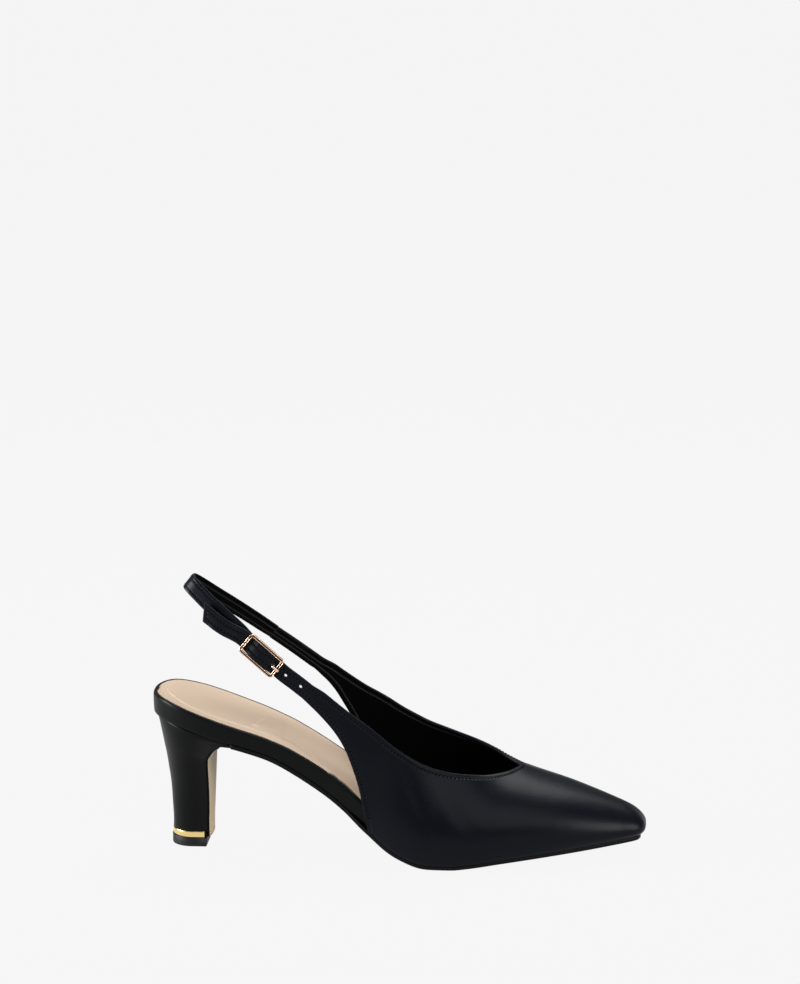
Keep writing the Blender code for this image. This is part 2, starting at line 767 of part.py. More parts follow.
def centre_bar_out():
    """Middle of the centre bar, a little inside the buckle's middle plane."""
    return -0.6 * BUCKLE_THICKNESS


def tab_rows():
    """Outer face of the outer strap from its root through the buckle to its end, as points.

    It dips under the toe bar, rises over the centre bar and dips under the heel bar.
    """
    under = -(0.5 * BUCKLE_THICKNESS + GAP)
    over = centre_bar_out() + 0.5 * CENTRE_BAR_DIAMETER + GAP + WALL
    reach = bar_reach()
    weave = in_buckle([
        (1.35 * reach, under - 0.15 * MM),
        (reach, under - 0.1 * MM),
        (0.72 * reach, 0.5 * (under + over) - 0.5 * MM),
        (0.36 * reach, over - 0.55 * MM),
        (0.0, over),
        (-0.36 * reach, over - 0.55 * MM),
        (-0.72 * reach, 0.5 * (under + over) - 0.5 * MM),
        (-reach, under - 0.1 * MM),
        (-1.3 * reach, under - 0.3 * MM),
    ])
    start = on_strap([(1.0, -ROOT_SIDE, 0.18), (0.90, -ROOT_SIDE + 0.018, 0.20)])
    end = on_strap([(place, -side, drop) for place, side, drop in (TAIL_MIDDLE, TAIL_END)])
    return np.concatenate([start, weave, end])


def across_strap(count, lean=0.0):
    """Direction up across the strap at each of count points, leaned towards the -Y side."""
    lean = np.radians(np.broadcast_to(lean, count))
    return np.cos(lean)[:, None] * ACROSS - np.sin(lean)[:, None] * np.array([0.0, 1.0, 0.0])


def strap_edges(middle, lean=0.0):
    """Lower and upper edge lines of a strap round its middle line."""
    half = 0.5 * STRAP_WIDTH * across_strap(len(middle), lean)
    return middle - half, middle + half


def upper_edge_points(side):
    """Topline and rear edge of one quarter, as real points from front to strap root."""
    lines = []
    for table in (TOPLINE[side], BACK_EDGE[side]):
        x = along(table[:, 0])
        z = sole_top(x) + table[:, 2] * INSTEP_RISE
        lines.append(np.stack([x, table[:, 1] * BALL_WIDTH, z], -1))
    return lines


def ridge_points():
    """Ridge of the vamp from the toe's pole to the throat."""
    x = along(RIDGE[:, 0])
    z = sole_top(x) + RIDGE[:, 2] * INSTEP_RISE
    return np.stack([x, RIDGE[:, 1] * BALL_WIDTH, z], -1)


def feather_line(side):
    """Lower edge of the upper on the sole, from the front of the nose to the rear corner.

    It is the footbed's outline, moved out by the wall and the clearance.
    """
    steps = 120
    ring = edge_ring(0.30, EDGE[-1, 0], steps, WALL + GAP)
    half = steps + 1
    outer, inner = ring[:half], ring[:half - 1:-1]
    front = 0.5 * (outer[-1] + inner[-1])
    line = (outer if side == "lateral" else inner)[::-1]
    line = np.vstack([front, line])
    corner = along(LATERAL_CORNER if side == "lateral" else MEDIAL_CORNER)
    line = line[line[:, 0] >= corner]
    fine = np.vstack([line, [corner, line[-1, 1]]])
    return lift(fine, lambda x: sole_top(x) + GAP)


def split_at(line, x):
    """A line that runs backwards, cut in two at x."""
    cut = int(np.argmax(line[:, 0] < x))
    return line[:cut + 1], line[cut:]


def upper_side(side):
    """Grid of points of one side of the upper: stations from the toe back, each from the
    lower edge up to the ridge or the topline."""
    feather = feather_line(side)
    nose, rest = split_at(feather, along(NOSE_END))
    vamp, collar = split_at(rest, along(VAMP_END))
    ridge = ridge_points()
    topline, rear = upper_edge_points(side)
    sign = -1.0 if side == "lateral" else 1.0
    if side == "lateral":
        strap = tab_rows()
        strap_steps = TAB_STEPS
    else:
        strap = on_strap(WING) + np.array([0.0, 0.5 * WALL, 0.0])
        strap_steps = WING_STEPS
    lean = np.array([0.0, 0.0]) if side == "lateral" else WING[[0, -1], 3]
    low_root, high_root = strap_edges(strap[:1], lean[0])
    topline = np.vstack([ridge[-1:], topline, high_root[:1]])
    rear = np.vstack([feather[-1:], rear, low_root[:1]])
    topline = through(topline, 200)
    knee = split_at(topline, along(KNEE[side]))
    middle = through(strap, strap_steps)
    low_strap, high_strap = strap_edges(middle, np.interp(lengths(middle), [0, 1], lean))
    if side == "lateral":
        slant = TAIL_SLANT * STRAP_WIDTH * step_between(np.linspace(0, 1, len(middle)), 0.8, 1.0)
        low_strap = low_strap + slant[:, None] * FORWARD
    pieces = [
        (even(nose, NOSE_STEPS), np.repeat(ridge[:1], NOSE_STEPS + 1, axis=0)),
        (even(vamp, VAMP_STEPS), through(ridge, VAMP_STEPS)),
        (even(collar, COLLAR_STEPS), even(knee[0], COLLAR_STEPS)),
        (through(rear, QUARTER_STEPS), even(knee[1], QUARTER_STEPS)),
        (low_strap, high_strap),
    ]
    low = np.concatenate([pieces[0][0]] + [piece[0][1:] for piece in pieces[1:]])
    high = np.concatenate([pieces[0][1]] + [piece[1][1:] for piece in pieces[1:]])
    counts = [NOSE_STEPS, VAMP_STEPS, COLLAR_STEPS, QUARTER_STEPS, strap_steps]
    position = np.concatenate([[0.0]] + [k + np.arange(1, n + 1) / n for k, n in enumerate(counts)])
    return cross_sections(low, high, position, SHAPE[side], sign)


def outward_directions(low, high, position, sign):
    """Direction in plan from the shoe's middle out through each station.

    On the nose it points from the pole to the lower edge, and from the end of the nose to the
    throat it turns to straight sideways.
    """
    fan = unit((low - high)[:, :2] + 1e-9)
    side = np.broadcast_to([0.0, sign], fan.shape)
    turned = step_between(position, 0.8, 1.8)[:, None]
    return unit(fan * (1 - turned) + side * turned)


def cross_sections(low, high, position, shape, sign):
    """Cubic curves from the lower edge to the upper one, bent as the table says."""
    flare, low_pull, lean, high_pull = smooth(shape[:, 0], shape[:, 1:], np.minimum(position, 4)).T
    out = outward_directions(low, high, position, sign)
    chord = np.linalg.norm(high - low, axis=1)
    straight = step_between(position, 3.4, 4.0)[:, None]
    up_chord = unit(high - low)
    flare, lean = np.radians(flare), np.radians(lean)
    rise = np.column_stack([out * np.sin(flare)[:, None], np.cos(flare)])
    ridge = ridge_points()
    fall = (ridge[1, 2] - ridge[0, 2]) / (ridge[1, 0] - ridge[0, 0])
    droop = fall * out[:, 0] * step_between(-position, -2.0, -0.9)
    over = np.column_stack([out * np.cos(lean)[:, None], -np.sin(lean) + droop])
    rise = unit(rise * (1 - straight) + up_chord * straight)
    over = over * (1 - straight) - up_chord * straight
    first = low + rise * (low_pull * chord)[:, None]
    second = high + over * (high_pull * chord)[:, None]
    t = np.linspace(0, 1, CROSS_STEPS + 1)[None, :, None]
    return ((1 - t) ** 3 * low[:, None] + 3 * t * (1 - t) ** 2 * first[:, None]
            + 3 * t * t * (1 - t) * second[:, None] + t ** 3 * high[:, None])


def make_upper():
    """Vamp, both quarters and the outer strap as one hollow shell, open at the throat, the heel
    and underneath."""
    points = []
    faces = []
    for side in ("lateral", "medial"):
        grid = upper_side(side)
        rows, columns = grid.shape[:2]
        base = len(points)
        points.extend(grid.reshape(-1, 3))
        for i in range(rows - 1):
            for j in range(columns - 1):
                a = base + i * columns + j
                face = (a, a + columns, a + columns + 1, a + 1)
                faces.append(face if side == "medial" else face[::-1])
    upper = put("upper", points, faces, "upper_leather", closed=False)
    add_wall(upper, WALL)
    for hole in make_hole_cutters():
        cut = upper.modifiers.new(hole.name, "BOOLEAN")
        cut.operation = "DIFFERENCE"
        cut.solver = "EXACT"
        cut.object = hole
    return upper


def hole_place(number):
    """Point in the middle of the outer strap's hole: number 0 holds the prong."""
    reach = prong_hole_along() + number * HOLE_PITCH
    place = BUCKLE_PLACE + reach / REACH
    line = tab_rows()
    forward = (line - APEX) @ FORWARD / REACH
    order = np.argsort(forward)
    point = smooth(forward[order], line[order], [place])[0]
    return point


def prong_hole_along():
    """From the buckle's middle to the hole that the prong goes through."""
    return PRONG_HOLE * bar_reach()


def make_hole_cutters():
    """Round cutters for the strap's holes, square to the strap."""
    _, long, _, outward = buckle_frame()
    made = []
    for number in range(3):
        radius = 0.5 * (HOLE_DIAMETER + (PRONG_HOLE_WIDENING if number == 0 else 0.0))
        shape = bmesh.new()
        bmesh.ops.create_cone(shape, cap_ends=True, segments=12, radius1=radius, radius2=radius,
                              depth=CUTTER_LENGTH)
        mesh = bpy.data.meshes.new("hole_cutter_%d" % number)
        shape.to_mesh(mesh)
        shape.free()
        cutter = bpy.data.objects.new(mesh.name, mesh)
        turn = Vector(outward).to_track_quat("Z", "Y").to_matrix().to_4x4()
        cutter.matrix_world = Matrix.Translation(Vector(hole_place(number))) @ turn
        cutter.hide_render = True
        cutter.display_type = "WIRE"
        CUTTERS.objects.link(cutter)
        made.append(cutter)
    return made


def sling_line():
    """Middle line and lean of the sling strap from the inner wing round the heel to the buckle."""
    start = WING[-1] - np.array([GAP / REACH, 0.002, 0.0, 0.0])
    table = np.vstack([start, SLING])
    rows = on_strap(table)
    bar = centre_bar_out() - 0.5 * CENTRE_BAR_DIAMETER - GAP - 0.5 * STRAP_THICKNESS
    under = -(0.5 * BUCKLE_THICKNESS + 2 * GAP + WALL + 0.5 * STRAP_THICKNESS) - 0.3 * MM
    end = in_buckle([(-bar_reach(), under), (-0.4 * bar_reach(), 0.5 * (under + bar) - 0.2 * MM),
                     (0.0, bar), (0.08 * bar_reach(), bar)])
    lean = np.concatenate([table[:, 3], np.zeros(len(end))])
    return np.column_stack([np.vstack([rows, end]), lean])


def make_sling_strap():
    """Flat strap swept along its line, as wide as the outer strap."""
    rows = sling_line()
    key = lengths(rows[:, :3])
    line = even(smooth(key, rows[:, :3], np.linspace(0, 1, 12 * len(rows))), SLING_STEPS)
    up = across_strap(len(line), smooth(key, rows[:, 3], lengths(line)))
    heading = unit(np.gradient(line, axis=0))
    square = unit(np.cross(heading, up))
    half_width, half_thickness = 0.5 * STRAP_WIDTH, 0.5 * STRAP_THICKNESS
    corners = [line + a * half_width * up + b * half_thickness * square
               for a, b in ((-1, -1), (1, -1), (1, 1), (-1, 1))]
    points = np.stack(corners, axis=1).reshape(-1, 3)
    count = len(line)
    faces = []
    for i in range(count - 1):
        for j in range(4):
            k = (j + 1) % 4
            faces.append((4 * i + j, 4 * i + k, 4 * i + 4 + k, 4 * i + 4 + j))
    faces.append((0, 1, 2, 3))
    faces.append(tuple(4 * count - 4 + j for j in range(4)))
    return put("sling_strap", points, faces, "upper_leather")


def box(name, size, place, material, group):
    """Box of that size round a place in the buckle's own axes."""
    shape = bmesh.new()
    bmesh.ops.create_cube(shape, size=1.0)
    bmesh.ops.scale(shape, vec=size, verts=shape.verts)
    bmesh.ops.translate(shape, vec=place, verts=shape.verts)
    mesh = bpy.data.meshes.new(name)
    shape.to_mesh(mesh)
    shape.free()
    made = bpy.data.objects.new(name, mesh)
    if material:
        made.data.materials.append(finish(material))
    group.objects.link(made)
    return made


def buckle_matrix():
    """The buckle's axes as a world matrix: X along it, Y across it, Z outwards."""
    middle, long, across, outward = buckle_frame()
    if np.dot(np.cross(long, across), outward) < 0:
        across = -across
    columns = np.column_stack([long, across, outward])
    matrix = Matrix.Identity(4)
    for row in range(3):
        for column in range(3):
            matrix[row][column] = columns[row, column]
        matrix[row][3] = middle[row]
    return matrix


def buckle_width():
    """Outer width of the buckle: the strap, its clearances and two side bars."""
    return STRAP_WIDTH + 2 * GAP + 2 * BUCKLE_BAR


def make_buckle_frame():
    """Rectangular buckle with a centre bar, cut from a plate with rounded edges."""
    size = (BUCKLE_LENGTH, buckle_width(), BUCKLE_THICKNESS)
    frame = box("buckle_frame", size, (0, 0, 0), "buckle_metal", PARTS)
    window_size = (size[0] - 2 * BUCKLE_BAR, size[1] - 2 * BUCKLE_BAR, 4 * BUCKLE_THICKNESS)
    window = box("buckle_window", window_size, (0, 0, 0), None, CUTTERS)
    bar_size = (CENTRE_BAR_DIAMETER, size[1] - BUCKLE_BAR, CENTRE_BAR_DIAMETER)
    bar = box("buckle_centre_bar", bar_size, (0, 0, centre_bar_out()), None, CUTTERS)
    bevel = bar.modifiers.new("round", "BEVEL")
    bevel.width = 0.3 * CENTRE_BAR_DIAMETER
    bevel.segments = 1
    for item in (frame, window, bar):
        item.matrix_world = buckle_matrix()
    for item in (window, bar):
        item.hide_render = True
        item.display_type = "WIRE"
    for name, operation, other in (("window", "DIFFERENCE", window), ("centre_bar", "UNION", bar)):
        step = frame.modifiers.new(name, "BOOLEAN")
        step.operation = operation
        step.solver = "EXACT"
        step.object = other
        if operation == "DIFFERENCE":
            soft = frame.modifiers.new("soft_edges", "BEVEL")
            soft.width = BUCKLE_SOFTENING
            soft.segments = 1
            soft.limit_method = "ANGLE"
    return frame


def make_buckle_prong():
    """Round prong from the centre bar, up through the strap's hole and over the toe bar."""
    reach = bar_reach()
    radius = 0.5 * PRONG_DIAMETER
    hole = prong_hole_along()
    top = 0.5 * BUCKLE_THICKNESS + GAP + radius
    low = -(0.5 * BUCKLE_THICKNESS + GAP + WALL + GAP + radius)
    start = 0.5 * CENTRE_BAR_DIAMETER + GAP + radius
    route = [
        (start, centre_bar_out() - 0.25 * MM),
        (0.30 * reach, centre_bar_out() - 0.7 * MM),
        (0.47 * reach, low + 0.55 * MM),
        (hole - 0.75 * MM, low + 0.35 * MM),
        (hole - 0.25 * MM, low + 0.9 * MM),
        (hole, 0.5 * (low + top)),
        (hole + 0.15 * MM, top - 0.7 * MM),
        (hole + 0.9 * MM, top + 0.05 * MM),
        (reach, top + 0.08 * MM),
        (reach + 1.5 * MM, top - 0.1 * MM),
    ]
    line = through(np.array([(a, 0.0, n) for a, n in route]), 16)
    curve = bpy.data.curves.new("prong_line", "CURVE")
    curve.dimensions = "3D"
    curve.bevel_depth = radius
    curve.bevel_resolution = 1
    curve.use_fill_caps = True
    spline = curve.splines.new("POLY")
    spline.points.add(len(line) - 1)
    spline.points.foreach_set("co", np.column_stack([line, np.ones(len(line))]).ravel())
    wire = bpy.data.objects.new("prong_line", curve)
    PARTS.objects.link(wire)
    depsgraph = bpy.context.evaluated_depsgraph_get()
    mesh = bpy.data.meshes.new_from_object(wire.evaluated_get(depsgraph))
    shape = bmesh.new()
    shape.from_mesh(mesh)
    bmesh.ops.remove_doubles(shape, verts=shape.verts, dist=0.001 * MM)
    shape.to_mesh(mesh)
    shape.free()
    bpy.data.objects.remove(wire, do_unlink=True)
    mesh.name = "buckle_prong"
    mesh.shade_smooth()
    mesh.materials.clear()
    mesh.materials.append(finish("buckle_metal"))
    prong = bpy.data.objects.new("buckle_prong", mesh)
    PARTS.objects.link(prong)
    prong.matrix_world = buckle_matrix()
    return prong


make_outsole()
make_footbed()
make_sock()
make_heel()
make_toplift()
make_heel_band()
make_breast_cover()
make_upper()
make_sling_strap()
make_buckle_frame()
make_buckle_prong()
bpy.context.view_layer.update()
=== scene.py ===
"""Looks of the slingback pump: fine leather, stitches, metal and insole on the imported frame.

+X runs to the toe, +Y to the inner side and +Z up, in metres, as in the part's own source.
"""

import math

import bmesh
import bpy
import numpy as np
from mathutils import Matrix, Vector


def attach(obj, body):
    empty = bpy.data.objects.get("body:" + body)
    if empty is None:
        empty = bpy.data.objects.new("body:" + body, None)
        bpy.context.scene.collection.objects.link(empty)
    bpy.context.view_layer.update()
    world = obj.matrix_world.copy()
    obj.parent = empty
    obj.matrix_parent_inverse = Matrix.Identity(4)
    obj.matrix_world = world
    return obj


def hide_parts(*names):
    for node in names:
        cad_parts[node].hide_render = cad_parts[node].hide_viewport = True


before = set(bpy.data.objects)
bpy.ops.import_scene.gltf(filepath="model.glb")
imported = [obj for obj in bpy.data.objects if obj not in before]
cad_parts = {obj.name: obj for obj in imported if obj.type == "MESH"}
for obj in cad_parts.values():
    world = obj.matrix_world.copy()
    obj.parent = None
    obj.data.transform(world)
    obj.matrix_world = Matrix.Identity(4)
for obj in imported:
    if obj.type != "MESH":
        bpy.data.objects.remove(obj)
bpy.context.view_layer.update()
MM = 0.001

# Main sizes of the shoe
LENGTH = 252.5 * MM          # back of the footbed to the tip of the toe
TREAD_SETBACK = 18.6 * MM    # back of the footbed to the middle of the heel's tread
HEEL_HEIGHT = 70.2 * MM      # floor to the heel seat
TOE_SPRING = 8.8 * MM        # lift of the toe's end above the floor
BALL_WIDTH = 71.3 * MM       # footbed across the ball
SEAT_WIDTH = 55.8 * MM       # footbed across the heel seat
INSTEP_RISE = 38.8 * MM      # point of the throat above the sole
STRAP_RISE = 69.1 * MM       # middle of the strap's loop above the heel seat

# Walls, thicknesses and clearances
GAP = 0.3 * MM               # between pieces that touch
WALL = 1.6 * MM              # leather and lining of the upper
SOLE_THICKNESS = 2.2 * MM
RIM_INSET = 1.9 * MM         # edge of the sock's recess inside the footbed's edge
SOCK_STAND = 0.5 * MM        # its edge above the footbed's rim
SEAT_DISH = 1.2 * MM         # hollow of the footbed's middle
COVER_INSET = 0.8 * MM       # its edges inside the breast's edges
COVER_END = 0.912            # its upper end, as a share of the heel's height

# Heel
TREAD_LENGTH = 18.7 * MM
TREAD_WIDTH = 19.8 * MM
TOPLIFT_HEIGHT = 4.8 * MM
TOPLIFT_SHIFT = 0.5 * MM     # behind the heel block's foot
BAND_HEIGHT = 2.9 * MM
BAND_SETBACK = 1.6 * MM      # ends of the band behind the heel breast

# Strap and buckle
STRAP_WIDTH = 8.8 * MM
STRAP_THICKNESS = 1.6 * MM
HOLE_DIAMETER = 1.65 * MM
HOLE_PITCH = 9.3 * MM
PRONG_HOLE = 0.61            # its place, as a share of the way to the toe bar
CUTTER_LENGTH = 8.0 * MM
BUCKLE_LENGTH = 22.2 * MM
BUCKLE_BAR = 1.3 * MM
BUCKLE_THICKNESS = 1.5 * MM
CENTRE_BAR_DIAMETER = 1.1 * MM
PRONG_DIAMETER = 1.1 * MM

# Underside of the footbed along the shoe: place as a share of LENGTH from the back,
# height as a share of the heel's lift and of the toe spring.
SOLE_LINE = np.array([
    # place, heel, spring
    (0.000, 1.029, 0.000),
    (0.020, 1.014, 0.000),
    (0.045, 0.998, 0.000),
    (0.083, 0.957, 0.000),
    (0.145, 0.885, 0.000),
    (0.190, 0.838, 0.000),
    (0.247, 0.762, 0.000),
    (0.318, 0.610, 0.000),
    (0.381, 0.444, 0.000),
    (0.444, 0.240, 0.000),
    (0.493, 0.094, 0.000),
    (0.525, 0.038, 0.000),
    (0.563, 0.000, 0.000),
    (0.612, 0.000, 0.000),
    (0.648, 0.000, 0.100),
    (0.706, 0.000, 0.320),
    (0.816, 0.000, 0.610),
    (0.927, 0.000, 0.850),
    (1.000, 0.000, 1.000),
])

# Outline of the footbed in plan: half width on each side of the middle line, as a share of
# SEAT_WIDTH on both sides plus a share of BALL_WIDTH on the lateral and the medial side.
# Behind the seat's widest place it is a rounded curve, worked out in seat_back().
SEAT_WIDEST = 0.141
SEAT_ROUNDNESS = 2.3
EDGE_AHEAD = np.array([
    # place, seat, lateral, medial
    (0.191, 0.487, 0.0000, 0.0000),
    (0.247, 0.459, 0.0000, 0.0000),
    (0.303, 0.446, 0.0000, -0.005),
    (0.351, 0.444, 0.0000, -0.006),
    (0.396, 0.400, 0.0490, 0.044),
    (0.433, 0.300, 0.1500, 0.149),
    (0.461, 0.200, 0.2490, 0.254),
    (0.493, 0.100, 0.3600, 0.365),
    (0.525, 0.000, 0.4630, 0.471),
    (0.556, 0.000, 0.4780, 0.494),
    (0.587, 0.000, 0.4850, 0.509),
    (0.617, 0.000, 0.4850, 0.516),
    (0.652, 0.000, 0.4750, 0.515),
    (0.684, 0.000, 0.4590, 0.502),
    (0.715, 0.000, 0.4350, 0.481),
    (0.763, 0.000, 0.3870, 0.438),
    (0.818, 0.000, 0.3210, 0.377),
    (0.874, 0.000, 0.2410, 0.311),
    (0.930, 0.000, 0.1470, 0.237),
    (0.959, 0.000, 0.0940, 0.195),
    (0.9728, 0.000, 0.0645, 0.170),
    (0.9798, 0.000, 0.0420, 0.152),
    (0.9834, 0.000, 0.0100, 0.118),
])
LATERAL_CORNER = 0.446       # rear corner of the upper's lower edge
MEDIAL_CORNER = 0.434
NOSE_END = 0.957             # where the nose turns into the side of the toe
VAMP_END = 0.748             # lower edge below the throat

# Height of the footbed's edge above its underside, as a share of BED_HEIGHT.
BED_HEIGHT = 10.2 * MM
BED = np.array([
    # place, height
    (0.000, 0.962),
    (0.028, 1.043),
    (0.055, 1.010),
    (0.100, 0.990),
    (0.145, 0.950),
    (0.190, 0.885),
    (0.247, 0.870),
    (0.285, 0.940),
    (0.330, 0.995),
    (0.380, 1.050),
    (0.430, 1.110),
    (0.490, 0.800),
    (0.550, 0.600),
    (0.700, 0.460),
    (1.000, 0.400),
])

# Ridge of the vamp from the toe's pole to the throat, then the topline back to the strap:
# place, sideways as a share of BALL_WIDTH, height above the sole as a share of INSTEP_RISE.
RIDGE = np.array([
    # place, side, rise
    (0.941, 0.056, 0.455),
    (0.909, 0.056, 0.551),
    (0.876, 0.056, 0.645),
    (0.842, 0.056, 0.738),
    (0.806, 0.057, 0.830),
    (0.775, 0.058, 0.914),
    (0.747, 0.060, 1.000),
])
TOPLINE = {
    "lateral": np.array([
        (0.721, -0.090, 1.010),
        (0.688, -0.198, 1.042),
        (0.652, -0.271, 1.107),
        (0.616, -0.317, 1.170),
        (0.583, -0.350, 1.235),
        (0.553, -0.373, 1.310),
        (0.525, -0.387, 1.362),
        (0.497, -0.397, 1.405),
        (0.472, -0.401, 1.427),
        (0.448, -0.401, 1.419),
        (0.425, -0.397, 1.390),
        (0.402, -0.390, 1.362),
        (0.379, -0.383, 1.352),
        (0.355, -0.374, 1.353),
    ]),
    "medial": np.array([
        (0.721, 0.155, 1.062),
        (0.688, 0.236, 1.170),
        (0.652, 0.303, 1.272),
        (0.616, 0.348, 1.358),
        (0.583, 0.379, 1.420),
        (0.553, 0.396, 1.474),
        (0.525, 0.404, 1.502),
        (0.497, 0.408, 1.513),
        (0.472, 0.408, 1.503),
        (0.448, 0.404, 1.462),
        (0.425, 0.398, 1.414),
        (0.402, 0.391, 1.378),
        (0.379, 0.381, 1.360),
        (0.355, 0.369, 1.358),
    ]),
}
# Rear edge of each quarter, from the corner at the sole up to the strap.
BACK_EDGE = {
    "lateral": np.array([
        (0.4375, -0.436, 0.215),
        (0.4295, -0.440, 0.450),
        (0.4165, -0.435, 0.658),
        (0.3985, -0.421, 0.841),
        (0.3765, -0.405, 0.944),
        (0.3510, -0.394, 1.007),
    ]),
    "medial": np.array([
        (0.4275, 0.429, 0.195),
        (0.4205, 0.432, 0.385),
        (0.4085, 0.426, 0.578),
        (0.3915, 0.415, 0.749),
        (0.3725, 0.401, 0.883),
        (0.3500, 0.388, 1.023),
    ]),
}

# Where the topline turns up towards the strap, as a share of the length.
KNEE = {"lateral": 0.497, "medial": 0.490}

# How each cross-section bends, keyed by its position along the upper: 0 toe, 1 end of the nose,
# 2 throat, 3 corner at the sole, 4 start of the strap. Angles are in degrees, pulls are shares
# of the section's chord.
SHAPE = {
    "lateral": np.array([
        # position, flare, low_pull, lean, high_pull
        (0.0, 60.0, 0.38, 0.0, 0.46),
        (0.5, 54.0, 0.38, 0.0, 0.46),
        (1.0, 46.0, 0.37, 0.0, 0.48),
        (1.5, 30.0, 0.40, 0.0, 0.50),
        (2.0, 20.0, 0.42, 6.0, 0.44),
        (2.3, 18.0, 0.42, 30.0, 0.36),
        (2.6, 16.0, 0.40, 58.0, 0.34),
        (3.0, 12.0, 0.36, 78.0, 0.34),
        (3.5, 6.0, 0.33, 84.0, 0.33),
        (4.0, 2.0, 0.33, 88.0, 0.33),
    ]),
    "medial": np.array([
        (0.0, 60.0, 0.38, 0.0, 0.46),
        (0.5, 54.0, 0.38, 0.0, 0.46),
        (1.0, 44.0, 0.37, 0.0, 0.48),
        (1.5, 28.0, 0.40, 0.0, 0.50),
        (2.0, 16.0, 0.42, 6.0, 0.48),
        (2.3, 13.0, 0.42, 26.0, 0.42),
        (2.6, 11.0, 0.40, 54.0, 0.36),
        (3.0, 9.0, 0.36, 76.0, 0.34),
        (3.5, 6.0, 0.33, 84.0, 0.33),
        (4.0, 2.0, 0.33, 88.0, 0.33),
    ]),
}
NOSE_STEPS, VAMP_STEPS, COLLAR_STEPS, QUARTER_STEPS, WING_STEPS, TAB_STEPS = 24, 44, 60, 44, 26, 130
CROSS_STEPS = 40

# Heel block: height as a share of the way from the band up to the seat; its back, the place
# where the round back turns into the sides, and its breast as shares of TREAD_LENGTH; half
# width as a share of TREAD_WIDTH.
HEEL = np.array([
    # height, back, turn, breast, half_width
    (0.00, -0.503, 0.077, 0.497, 0.500),
    (0.06, -0.497, 0.080, 0.497, 0.510),
    (0.22, -0.519, 0.080, 0.513, 0.556),
    (0.37, -0.545, 0.075, 0.524, 0.646),
    (0.56, -0.620, 0.050, 0.529, 0.818),
    (0.66, -0.668, 0.045, 0.533, 0.925),
    (0.73, -0.713, 0.055, 0.549, 1.010),
    (0.80, -0.755, 0.085, 0.642, 1.101),
    (0.86, -0.795, 0.130, 0.749, 1.172),
    (0.905, -0.825, 0.180, 0.866, 1.222),
    (0.934, -0.847, 0.230, 1.016, 1.252),
    (0.958, -0.867, 0.280, 1.290, 1.274),
    (1.00, -0.900, 0.376, 1.300, 1.300),
])
HEEL_ARC_STEPS = 60
HEEL_CORNER = 0.97           # half width at the breast, as a share of the widest

# Strap paths in the strap's own plane: forward from the back of the loop as a share of the
# distance to the strap's root, sideways as a share of SEAT_WIDTH, down across the strap as a
# share of STRAP_WIDTH, and the lean of its upper edge towards the foot in degrees.
ROOT_PLACE = 0.3295
ROOT_RISE = 1.245
SLING = np.array([
    # forward, side, drop, lean
    (0.540, 0.389, 0.17, 18.0),
    (0.463, 0.346, 0.14, 16.0),
    (0.317, 0.260, 0.10, 11.0),
    (0.195, 0.186, 0.08, 8.0),
    (0.097, 0.125, 0.05, 5.0),
    (0.039, 0.082, 0.03, 3.0),
    (0.014, 0.047, 0.02, 1.0),
    (0.004, 0.000, 0.02, 0.0),
    (0.014, -0.047, 0.01, 0.0),
    (0.039, -0.080, 0.01, 0.0),
    (0.097, -0.120, 0.03, 0.0),
    (0.195, -0.176, 0.06, 0.0),
    (0.317, -0.238, 0.06, 0.0),
    (0.438, -0.298, 0.06, 0.0),
])
WING = np.array([
    # forward, side, drop, lean
    (1.000, 0.466, 0.10, 21.0),
    (0.800, 0.442, 0.12, 28.0),
    (0.640, 0.412, 0.14, 24.0),
])
ROOT_SIDE = 0.466
SLING_STEPS = 260

# Buckle: its middle in the strap's plane, as in the strap tables, and its two turns.
BUCKLE_PLACE = 0.631
BUCKLE_SIDE = 0.416
BUCKLE_DROP = 0.190
BUCKLE_TURN = math.radians(7.4)     # towards the shoe's middle line, going back
BUCKLE_TILT = math.radians(-2.0)

# End of the outer strap past the buckle
TAIL_MIDDLE = (0.350, 0.306, 0.42)
TAIL_END = (0.155, 0.240, 0.57)
TAIL_SLANT = 0.62            # of STRAP_WIDTH, lower corner ahead of the upper

# Relief of the insole: near and far edge of the raised arch cushion and of the heel pad,
# sideways as shares of SEAT_WIDTH.
CUSHION = np.array([
    # place, near, far
    (0.208, -0.215, -0.165),
    (0.216, -0.235, -0.020),
    (0.227, -0.240, 0.110),
    (0.240, -0.240, 0.185),
    (0.256, -0.235, 0.205),
    (0.289, -0.245, 0.125),
    (0.325, -0.300, 0.030),
    (0.360, -0.390, -0.010),
    (0.400, -0.520, -0.015),
    (0.440, -0.620, -0.010),
])
PAD = np.array([
    # place, near, far
    (0.027, -0.020, 0.030),
    (0.034, -0.100, 0.130),
    (0.048, -0.180, 0.215),
    (0.069, -0.270, 0.300),
    (0.101, -0.330, 0.360),
    (0.140, -0.345, 0.395),
    (0.176, -0.330, 0.395),
    (0.206, -0.320, 0.350),
    (0.225, -0.315, 0.270),
    (0.245, -0.315, 0.225),
    (0.262, -0.315, 0.205),
])
CUSHION_RISE = 1.0 * MM
PAD_RISE = 0.45 * MM

